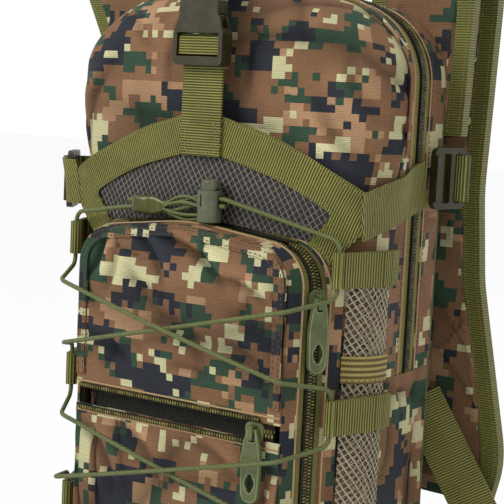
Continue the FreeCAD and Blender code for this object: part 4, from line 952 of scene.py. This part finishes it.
def make_pad(node, channels):
    """A filled cover with sewn channels; channels(points) is the distance to the nearest."""
    points, faces = skin(nodes[node])
    p = points / MM
    p = p - vertex_normals(p, faces) * PAD_INSET
    obj = add_object(node + "_cover", build_mesh(node + "_cover", p * MM, faces))
    remesh = obj.modifiers.new("remesh", "REMESH")
    remesh.mode = "VOXEL"
    remesh.voxel_size = PAD_CELL * MM
    settle(obj)
    low, high = box_of(node)
    fill_out(obj)
    smooth = obj.modifiers.new("smooth", "SUBSURF")
    smooth.levels = smooth.render_levels = 1
    settle(obj)
    p = read(obj.data.vertices, "co", 3) / MM
    outer = ease(p[:, 1], low[1] + 2, low[1] + 6)
    p[:, 1] -= CHANNEL_DEPTH * outer * np.exp(-(channels(p) / CHANNEL_WIDTH) ** 2)
    p[:, 1] = np.clip(p[:, 1], low[1], high[1] + 3)
    move_points(obj.data, p)
    obj.data.shade_smooth()
    obj.data.materials.clear()
    obj.data.materials.append(paints["padding"])
    flatten(obj, boxed)
    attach(obj, "pack")
    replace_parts(obj, node)
    return obj


def back_channels(p):
    """Two slanting channels that meet low down, and a level one."""
    return np.minimum(np.abs(np.abs(p[:, 0]) - (p[:, 2] - 190) * 0.24),
                      np.abs(p[:, 2] - 296))


def lumbar_channels(p):
    """Four upright channels."""
    x = np.abs(p[:, 0])
    return np.minimum(np.abs(x - 26), np.abs(x - 62))


CHANNELS = {"back_pad": back_channels, "lumbar_pad": lumbar_channels}
pads = {node: make_pad(node, channels) for node, channels in CHANNELS.items()}


# ---------------------------------------------------------------- lines on a surface

def chosen_faces(p, faces, keep):
    """The triangles that keep(middles, normals) picks, with their normals."""
    normals = unit(face_normals(p, faces))
    chosen = keep(p[faces].mean(1), normals)
    return faces[chosen], normals[chosen]


def add_line(lines, places, facing, closed, shortest):
    """Keep a line if it is long enough, with the outward directions along it."""
    if np.linalg.norm(np.diff(places, axis=0), axis=1).sum() >= shortest:
        lines.append((places, unit(facing), closed))


def chains(links):
    """Runs along a web of neighbours, and whether each closes on itself."""
    used = set()
    ends = [k for k, near in links.items() if len(near) == 1]
    for start in ends + list(links):
        if start in used:
            continue
        chain = [start]
        used.add(start)
        while True:
            ahead = [k for k in links[chain[-1]] if k not in used]
            if not ahead:
                break
            chain.append(ahead[0])
            used.add(ahead[0])
        yield chain, len(chain) > 2 and start in links[chain[-1]]


def rings(follow):
    """Runs from each point to the one that follows, and whether each closes on itself."""
    while follow:
        start = next(iter(follow))
        chain, k = [], start
        while k in follow:
            chain.append(k)
            k = follow.pop(k)
        closed = k == start
        if not closed:
            chain.append(k)
        yield chain, closed


def contour(obj, level, keep, shortest=4):
    """Lines on a surface where level(points) is nought, with the surface's directions.

    Points are in millimetres. keep(points, normals) picks the faces that count.
    """
    points, faces = skin(obj)
    p = points / MM
    value = level(p)
    side = value > 0
    crossing = side[faces].any(1) & ~side[faces].all(1)
    faces, normals = chosen_faces(p, faces[crossing], keep)
    links, spots = {}, {}
    for face, normal in zip(faces, normals):
        ends = []
        for i, j in ((0, 1), (1, 2), (2, 0)):
            a, b = sorted((int(face[i]), int(face[j])))
            if side[a] != side[b]:
                share = value[a] / (value[a] - value[b])
                spot = spots.setdefault((a, b), [p[a] * (1 - share) + p[b] * share,
                                                 np.zeros(3)])
                spot[1] = spot[1] + normal
                ends.append((a, b))
        for one, other in (ends, ends[::-1]):
            links.setdefault(one, []).append(other)
    lines = []
    for chain, closed in chains(links):
        places, facing = (np.array([spots[k][i] for k in chain]) for i in (0, 1))
        add_line(lines, places, facing, closed, shortest)
    return lines


Y, Z = 1, 2


def cuts(obj, axis, places, keep, shortest=4):
    """Lines where planes at these places along an axis cut a surface."""
    lines = []
    for place in places:
        lines += contour(obj, lambda p: p[:, axis] - place, keep, shortest)
    return lines


def borders(obj, keep, inset=0.0, shortest=6):
    """Outlines of the faces that keep(points, normals) picks, drawn in by an inset."""
    points, faces = skin(obj)
    p = points / MM
    faces, normals = chosen_faces(p, faces, keep)
    count = {}
    for index, face in enumerate(faces):
        for i in range(3):
            a, b = int(face[i]), int(face[(i + 1) % 3])
            count.setdefault((min(a, b), max(a, b)), []).append((a, b, index))
    follow, facing, inward = {}, {}, {}
    for uses in count.values():
        if len(uses) == 1:
            a, b, index = uses[0]
            side = np.cross(normals[index], p[b] - p[a])
            side /= max(np.linalg.norm(side), 1e-12)
            follow[a] = b
            for k in (a, b):
                facing[k] = facing.get(k, 0) + normals[index]
                inward[k] = inward.get(k, 0) + side
    lines = []
    for chain, closed in rings(follow):
        draw = unit(np.array([inward[k] for k in chain]), 1e-9)
        add_line(lines, p[chain] + draw * inset, np.array([facing[k] for k in chain]),
                 closed, shortest)
    return lines


def lifted(lines, height):
    """The same lines, raised from the surface by a height in millimetres."""
    return [(places + facing * height, facing, closed) for places, facing, closed in lines]


def line_mesh(name, lines):
    """A mesh of plain edges that carries an outward direction at each point."""
    places = np.vstack([line[0] for line in lines]) * MM
    facing = np.vstack([line[1] for line in lines])
    edges, start = [], 0
    for points, _, closed in lines:
        count = len(points)
        edges += [(start + i, start + i + 1) for i in range(count - 1)]
        if closed:
            edges.append((start + count - 1, start))
        start += count
    mesh = bpy.data.meshes.new(name)
    mesh.from_pydata([tuple(v) for v in places], edges, [])
    layer = mesh.attributes.new("outward", "FLOAT_VECTOR", "POINT")
    layer.data.foreach_set("vector", facing.astype(np.float32).ravel())
    return mesh


# ---------------------------------------------------------------- geometry node trees

class Tree:
    """A geometry node tree with a named input for each size, built step by step."""

    def __init__(self, name, sizes):
        self.tree = bpy.data.node_groups.new(name, "GeometryNodeTree")
        sockets = [("Geometry", "INPUT", "Geometry")]
        sockets += [(size, "INPUT", "Float") for size in sizes]
        sockets += [("Material", "INPUT", "Material"), ("Geometry", "OUTPUT", "Geometry")]
        for label, way, kind in sockets:
            self.tree.interface.new_socket(label, in_out=way, socket_type="NodeSocket" + kind)
        self.start = self.tree.nodes.new("NodeGroupInput")
        self.end = self.tree.nodes.new("NodeGroupOutput")

    def __getitem__(self, label):
        return self.start.outputs[label]

    def node(self, kind, inputs=None, **settings):
        node = self.tree.nodes.new(kind)
        for key, value in settings.items():
            setattr(node, key, value)
        for key, item in (inputs or {}).items():
            slot = node.inputs[key]
            if isinstance(item, bpy.types.NodeSocket):
                self.tree.links.new(item, slot)
            else:
                slot.default_value = item
        return node.outputs[0]

    def maths(self, kind, first, second):
        return self.node("ShaderNodeMath", {0: first, 1: second}, operation=kind)

    def finish(self, geometry):
        """Turn the instances into a smooth mesh with its material, and close the tree."""
        solid = self.node("GeometryNodeRealizeInstances", {"Geometry": geometry})
        smooth = self.node("GeometryNodeSetShadeSmooth", {"Geometry": solid})
        painted = self.node("GeometryNodeSetMaterial", {"Geometry": smooth,
                                                       "Material": self["Material"]})
        self.tree.links.new(painted, self.end.inputs[0])
        return self.tree


def repeat_tree():
    """Beads at an even spacing along lines, each facing outward."""
    t = Tree("repeat_along", ("Spacing", "Along", "Across", "Tall", "Stagger"))
    curve = t.node("GeometryNodeMeshToCurve", {"Mesh": t["Geometry"]})
    even = t.node("GeometryNodeResampleCurve", {"Curve": curve, "Length": t["Spacing"]},
                  mode="LENGTH")
    bead = t.node("GeometryNodeMeshUVSphere", {"Segments": 8, "Rings": 5, "Radius": 0.5})
    size = t.node("ShaderNodeCombineXYZ", {"X": t["Along"], "Y": t["Across"],
                                           "Z": t["Tall"]})
    shape = t.node("GeometryNodeTransform", {"Geometry": bead, "Scale": size})
    facing = t.node("GeometryNodeInputNamedAttribute", {"Name": "outward"},
                    data_type="FLOAT_VECTOR")
    ahead = t.node("GeometryNodeInputTangent")
    pose = t.node("FunctionNodeAxesToRotation", {"Primary Axis": facing,
                                                 "Secondary Axis": ahead},
                  primary_axis="Z", secondary_axis="X")
    placed = t.node("GeometryNodeInstanceOnPoints", {"Points": even, "Instance": shape,
                                                     "Rotation": pose})
    odd = t.maths("MODULO", t.node("GeometryNodeInputIndex"), 2.0)
    swing = t.maths("SUBTRACT", t.maths("MULTIPLY", odd, 2.0), 1.0)
    shift = t.node("ShaderNodeCombineXYZ", {"Y": t.maths("MULTIPLY", swing,
                                                         t["Stagger"])})
    moved = t.node("GeometryNodeTranslateInstances",
                   {"Instances": placed, "Translation": shift, "Local Space": True})
    return t.finish(moved)


def tube_tree():
    """A round tube that follows lines."""
    t = Tree("tube_along", ("Radius", "Step"))
    curve = t.node("GeometryNodeMeshToCurve", {"Mesh": t["Geometry"]})
    even = t.node("GeometryNodeResampleCurve", {"Curve": curve, "Length": t["Step"]},
                  mode="LENGTH")
    ring = t.node("GeometryNodeCurvePrimitiveCircle", {"Resolution": 8,
                                                       "Radius": t["Radius"]})
    tube = t.node("GeometryNodeCurveToMesh", {"Curve": even, "Profile Curve": ring,
                                              "Fill Caps": True})
    return t.finish(tube)


TREES = {"repeat": repeat_tree(), "tube": tube_tree()}


def grow(name, kind, lines, paint, body="pack", **sizes):
    """Run a tree over lines, with sizes in millimetres, and keep a plain mesh of it."""
    if not lines:
        return
    tree = TREES[kind]
    source = add_object(name + "_lines", line_mesh(name + "_lines", lines))
    modifier = source.modifiers.new("grow", "NODES")
    modifier.node_group = tree
    for item in tree.interface.items_tree:
        if item.name == "Material":
            modifier[item.identifier] = paints[paint]
        elif item.name != "Geometry":
            modifier[item.identifier] = sizes[item.name.lower()] * MM
    mesh = baked(source)
    bpy.data.objects.remove(source)
    mesh.name = name
    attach(flatten(add_object(name, mesh), boxed), body)


def off_back(p, n):
    return n[:, 1] > 0.5


def facing_front(p, n):
    return n[:, 1] < -0.6


def facing_out(p, n):
    return (n * outward(p)).sum(1) > 0.6


def off_pocket(p, n):
    """The faces of the pocket's wall that look away from its middle."""
    q = np.stack([p[:, 0] / 78, (p[:, 2] - 148) / 134], 1)
    ahead = unit(np.sign(q) * np.abs(q) ** 9 / (78, 134))
    return n[:, 0] * ahead[:, 0] + n[:, 2] * ahead[:, 1] > 0.5


def cloth(node):
    """A node's soft copy, or the node itself where it has none."""
    return bpy.data.objects.get(node + "_cloth") or nodes[node]


# How far the rows of teeth of an open mouth stand off to both sides of the zip, and how
# far two rows that mesh are shifted, in millimetres.
POCKET_MOUTH, LOWER_MOUTH, MESHED, OPEN = 5.2, 6.15, 1.05, 0


def teeth(name, lines, stagger, paint="coil"):
    """Coil teeth along lines: one open row, or two that mesh."""
    grow(name, "repeat", lifted(lines, 0.15), paint, spacing=0.85 if stagger else 1.6,
         along=0.95, across=2.3, tall=1.4, stagger=stagger)


def make_teeth():
    """Coil teeth of the three zips."""
    main, pocket, lower = (cloth(part + "_zip_teeth") for part in ("main", "pocket", "lower"))
    teeth("main_coil", cuts(main, Y, (MAIN_ZIP + 0.05,), facing_out, 60), MESHED,
          "coil_dark")
    teeth("pocket_coil", cuts(pocket, Y, (POCKET_ZIP,), off_pocket, 20), MESHED)
    teeth("pocket_mouth_coils",
          cuts(pocket, Y, (POCKET_ZIP - POCKET_MOUTH, POCKET_ZIP + POCKET_MOUTH), off_pocket,
               20), OPEN)
    teeth("lower_mouth_coils",
          cuts(lower, Z, (LOWER_ZIP + LOWER_MOUTH, LOWER_ZIP - LOWER_MOUTH), facing_front,
               20), OPEN)
    teeth("lower_coil", cuts(lower, Z, (LOWER_ZIP,), facing_front, 4), MESHED)


def stitches(name, lines, paint="stitch", spacing=3.0, length=2.1):
    """Sewing stitches along lines."""
    grow(name, "repeat", lifted(lines, 0.12), paint, spacing=spacing, along=length,
         across=0.55, tall=0.5, stagger=0)


def tube(name, lines, paint, radius, body="pack"):
    """A round strand along lines."""
    grow(name, "tube", lines, paint, body, radius=radius, step=2.5)


FINE = (1.9, 1.5)  # spacing and length of short stitches
STRAP_BOX = (9.5, 8, 327)  # half width, half height and middle height of the sewn box


def strap_box(p):
    """Nought on the outline of the box that is sewn on the centre strap."""
    wide, tall, middle = STRAP_BOX
    return np.maximum(np.abs(p[:, 0]) / wide, np.abs(p[:, 2] - middle) / tall) - 1


def binding_front(p, n):
    return n[:, 1] < -0.75


def make_stitches():
    """Sewn lines on the webbing, seams and bindings, and the zips' edgings; the main zip's
    pale edging is a painted highlight.
    """
    stitches("flap_stitches", borders(cloth("flap_webbing"), facing_front, 1.8, 60))
    strap = cloth("centre_strap_lower")
    stitches("centre_box_stitches", contour(strap, strap_box, facing_front)
             + cuts(strap, Z, (323.5, 330.5), facing_front), "stitch", 2.4, 1.8)
    stitches("seam_band_stitches",
             borders(cloth("pocket_seam_band"), facing_front, 1.2, 60), "stitch_dark")
    for side in SIDES:
        stitches("loop_stitches_" + side,
                 cuts(cloth("cord_loops_" + side), Y, (-18, -42), facing_out), "stitch", *FINE)
        stitches("side_strap_stitches_" + side,
                 cuts(cloth("side_strap_" + side), Y, (-34,), facing_out), "stitch", *FINE)
        stitches("binding_stitches_" + side,
                 borders(cloth("strap_binding_" + side), binding_front, 2.2, 200))
        stitches("elastic_stitches_" + side,
                 cuts(cloth("net_elastic_" + side), Z, (207.6,), facing_out), "stitch_dark")
    front, rear = cloth("front_gusset"), cloth("rear_gusset")
    stitches("front_edge_stitches", cuts(front, Y, (1.4,), facing_out, 60), "stitch_dark")
    stitches("rear_edge_stitches", cuts(rear, Y, (24.6,), facing_out, 60), "stitch_dark")
    # Painted highlight: the pale strands beside the main zip stand for the light on its folded
    # fabric edges.
    tube("main_zip_edging", cuts(front, Y, (3.3,), facing_out, 60)
         + cuts(rear, Y, (22.7,), facing_out, 60), "edging", 0.55)
    tube("pocket_zip_edging",
         cuts(cloth("pocket_front_gusset"), Y, (-59.5,), off_pocket, 60)
         + cuts(cloth("pocket_rear_gusset"), Y, (-45.1,), off_pocket, 60)
         + cuts(cloth("pocket_upper_panel"), Z, (189.7,), facing_front, 60)
         + cuts(cloth("lower_pocket_panel"), Z, (173.3,), facing_front, 60), "edging", 0.6)


def loft(name, rings, paint):
    """A closed skin over rings that hold the same number of points."""
    count = len(rings[0])
    points = np.vstack(list(rings) + [np.mean(rings[0], 0), np.mean(rings[-1], 0)]) * MM
    first, last = len(points) - 2, len(points) - 1
    base = (len(rings) - 1) * count
    sides = [(j, (j + 1) % count) for j in range(count)]
    faces = []
    for start in range(0, base, count):
        for j, k in sides:
            a, b = start + j, start + k
            c, d = a + count, b + count
            faces += [(a, b, d), (a, d, c)]
    for j, k in sides:
        faces += [(first, k, j), (last, base + j, base + k)]
    mesh = build_mesh(name, points, np.array(faces))
    mesh.shade_smooth()
    mesh.set_sharp_from_angle(angle=math.radians(50))
    mesh.materials.append(paints[paint])
    obj = flatten(add_object(name, mesh), boxed)
    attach(obj, "pack")
    return obj


# The cord's strands between sleeve and lock: how far each bows up, then its start and end
# in depth and in height.
STRANDS = (
    (4.6, -0.8, -1.6, 1.0, 4.6), (2.6, -1.8, -3.2, 0.4, 2.4),
    (-1.6, -1.6, -2.8, -1.0, -2.2), (-2.8, -0.4, -1.4, -1.8, -4.4),
)


def make_keeper():
    """The glossy sleeve on the cord, pinched towards its tip."""
    low, high = box_of("cord_keeper")
    middle, half = (low + high) / 2, (high - low) / 2
    turn = np.linspace(0, TURN, 33)[:-1]
    c, s = np.cos(turn), np.sin(turn)
    rings = []
    for t in np.linspace(0, 1, 41):
        pinch = 1 - 0.5 * float(ease(np.array(t), 0.55, 1.05))
        bulge = float(hump(np.array(t), 0.24, 0.34))
        round_off = 1 - 0.16 * max(0.0, 1 - t / 0.08) ** 2 - 0.3 * max(0.0, (t - 0.94) / 0.06)
        deep = min(half[1] * (0.55 + 0.5 * bulge) * round_off, half[1] * 1.1)
        tall = half[2] * pinch * round_off
        x = np.full(32, low[0] + (high[0] - low[0]) * t)
        y = middle[1] + np.sign(c) * np.abs(c) ** 0.7 * deep
        z = middle[2] + np.sign(s) * np.abs(s) ** 0.6 * tall
        rings.append(np.stack([x, y, z], 1))
    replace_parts(loft("keeper_sleeve", rings[::-1], "keeper"), "cord_keeper")


def make_strands():
    """The strands of the cord that run from the sleeve into the lock."""
    low, high = box_of("cord_keeper")
    middle = (low + high) / 2
    left = np.array((high[0] - 1.0, middle[1], middle[2]))
    right = np.array((box_of("cord_lock_barrel")[0][0] + 1.5, middle[1], middle[2]))
    t = np.linspace(0, 1, 15)
    lines = []
    for bow, near, far, start, end in STRANDS:
        line = left + (right - left) * t[:, None]
        line[:, 1] += near + (far - near) * t
        line[:, 2] += start + (end - start) * t + bow * np.sin(t * math.pi) * 0.8
        lines.append((line, np.tile((0.0, -1.0, 0.0), (15, 1)), False))
    tube("cord_strands", lines, "cord", 0.9)


def make_spring():
    """The lock's small spring, on a mesh of its own; the real one shortens as the button goes
    down.
    """
    mesh = build_mesh("lock_coil", *skin(nodes["cord_lock_spring"]))
    mesh.shade_smooth()
    mesh.materials.append(paints["spring"])
    obj = flatten(add_object("lock_coil", mesh), boxed)
    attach(obj, "pack")
    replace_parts(obj, "cord_lock_spring")
    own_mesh(obj)


def make_lock_slots():
    """Upright windows in the lock's barrel, drawn as near-black strands: painted shade in the
    openings.
    """
    low, high = box_of("cord_lock_barrel")
    middle = (low + high) / 2
    reach = (high[0] - low[0]) / 2 - 0.45
    lines = []
    for angle in (-102, -12, 78, 168):
        a = math.radians(angle)
        side = np.array((math.cos(a), math.sin(a), 0))
        line = np.tile(middle + side * reach, (6, 1))
        line[:, 2] = np.linspace(high[2] - 8.5, high[2] - 2.2, 6)
        lines.append((line, np.tile(side, (6, 1)), False))
    tube("lock_windows", lines, "slot", 0.75)


def broad_face(p, n):
    """The faces that look along the thinnest direction of a flat piece."""
    thinnest = np.linalg.svd(p - p.mean(0))[2][2]
    return np.abs(n @ thinnest) > 0.95


def make_rims():
    """Raised rims on the moulded zip pulls, painted paler than the pulls as a painted
    highlight on their edges.
    """
    for pull in ("pocket_pull", "lower_pull", "main_pull"):
        for name, obj in nodes.items():
            if name.startswith(pull):
                tube(name + "_rim", borders(obj, broad_face, 0.75), "rim", 0.42, pull)


def make_pad_stitches():
    """Stitches along the channels of the padded back."""
    lines = []
    for node, channels in CHANNELS.items():
        lines += contour(pads[node], lambda p: channels(p) - 0.4, off_back, 20)
    stitches("pad_stitches", lines, "stitch_dark")


make_teeth()
make_stitches()
make_keeper()
make_strands()
make_lock_slots()
make_spring()
make_rims()
make_pad_stitches()


# ---------------------------------------------------------------- backdrop

def seen_directly(network):
    """One where the backdrop is seen directly, in a gloss or through something clear."""
    rays = network.outputs("LightPath")
    clear = rays["Is Transmission Ray"]
    return rays["Is Camera Ray"].larger(rays["Is Glossy Ray"]).larger(clear)


def make_floor():
    """A pale floor that is seen nearly white and keeps the bag's soft shadow."""
    mesh = bpy.data.meshes.new("floor")
    reach = 6
    corners = [(-reach, -reach, 0), (reach, -reach, 0), (reach, reach, 0), (-reach, reach, 0)]
    mesh.from_pydata(corners, [], [(0, 1, 2, 3)])
    floor = add_object("floor", mesh)
    s = Shader("floor")
    grain = s.fleck(40.0)
    mesh.materials.append(s.paint(s.mix(grain, (0.90, 0.90, 0.90), (0.92, 0.92, 0.92)), 0.9))
    glow = s.make("Emission", {"Color": (1, 1, 1), "Strength": 1.0})
    pale = Term(s, s.surface.outputs[0])
    mixed = s.make("MixShader", {0: seen_directly(s) * 0.93, 1: pale, 2: glow})
    s.plug(s.nodes["Material Output"].inputs["Surface"], mixed)


SOFT_LIGHT = 0.38


def make_world():
    """White where it is seen, and a soft even light elsewhere."""
    world = bpy.data.worlds.new("world")
    bpy.context.scene.world = world
    world.use_nodes = True
    network = Network(world.node_tree)
    sky = network.nodes["Background"]
    network.plug(sky.inputs["Color"], (1, 1, 1))
    network.plug(sky.inputs["Strength"],
                 seen_directly(network) * (1 - SOFT_LIGHT) + SOFT_LIGHT)


make_floor()
make_world()
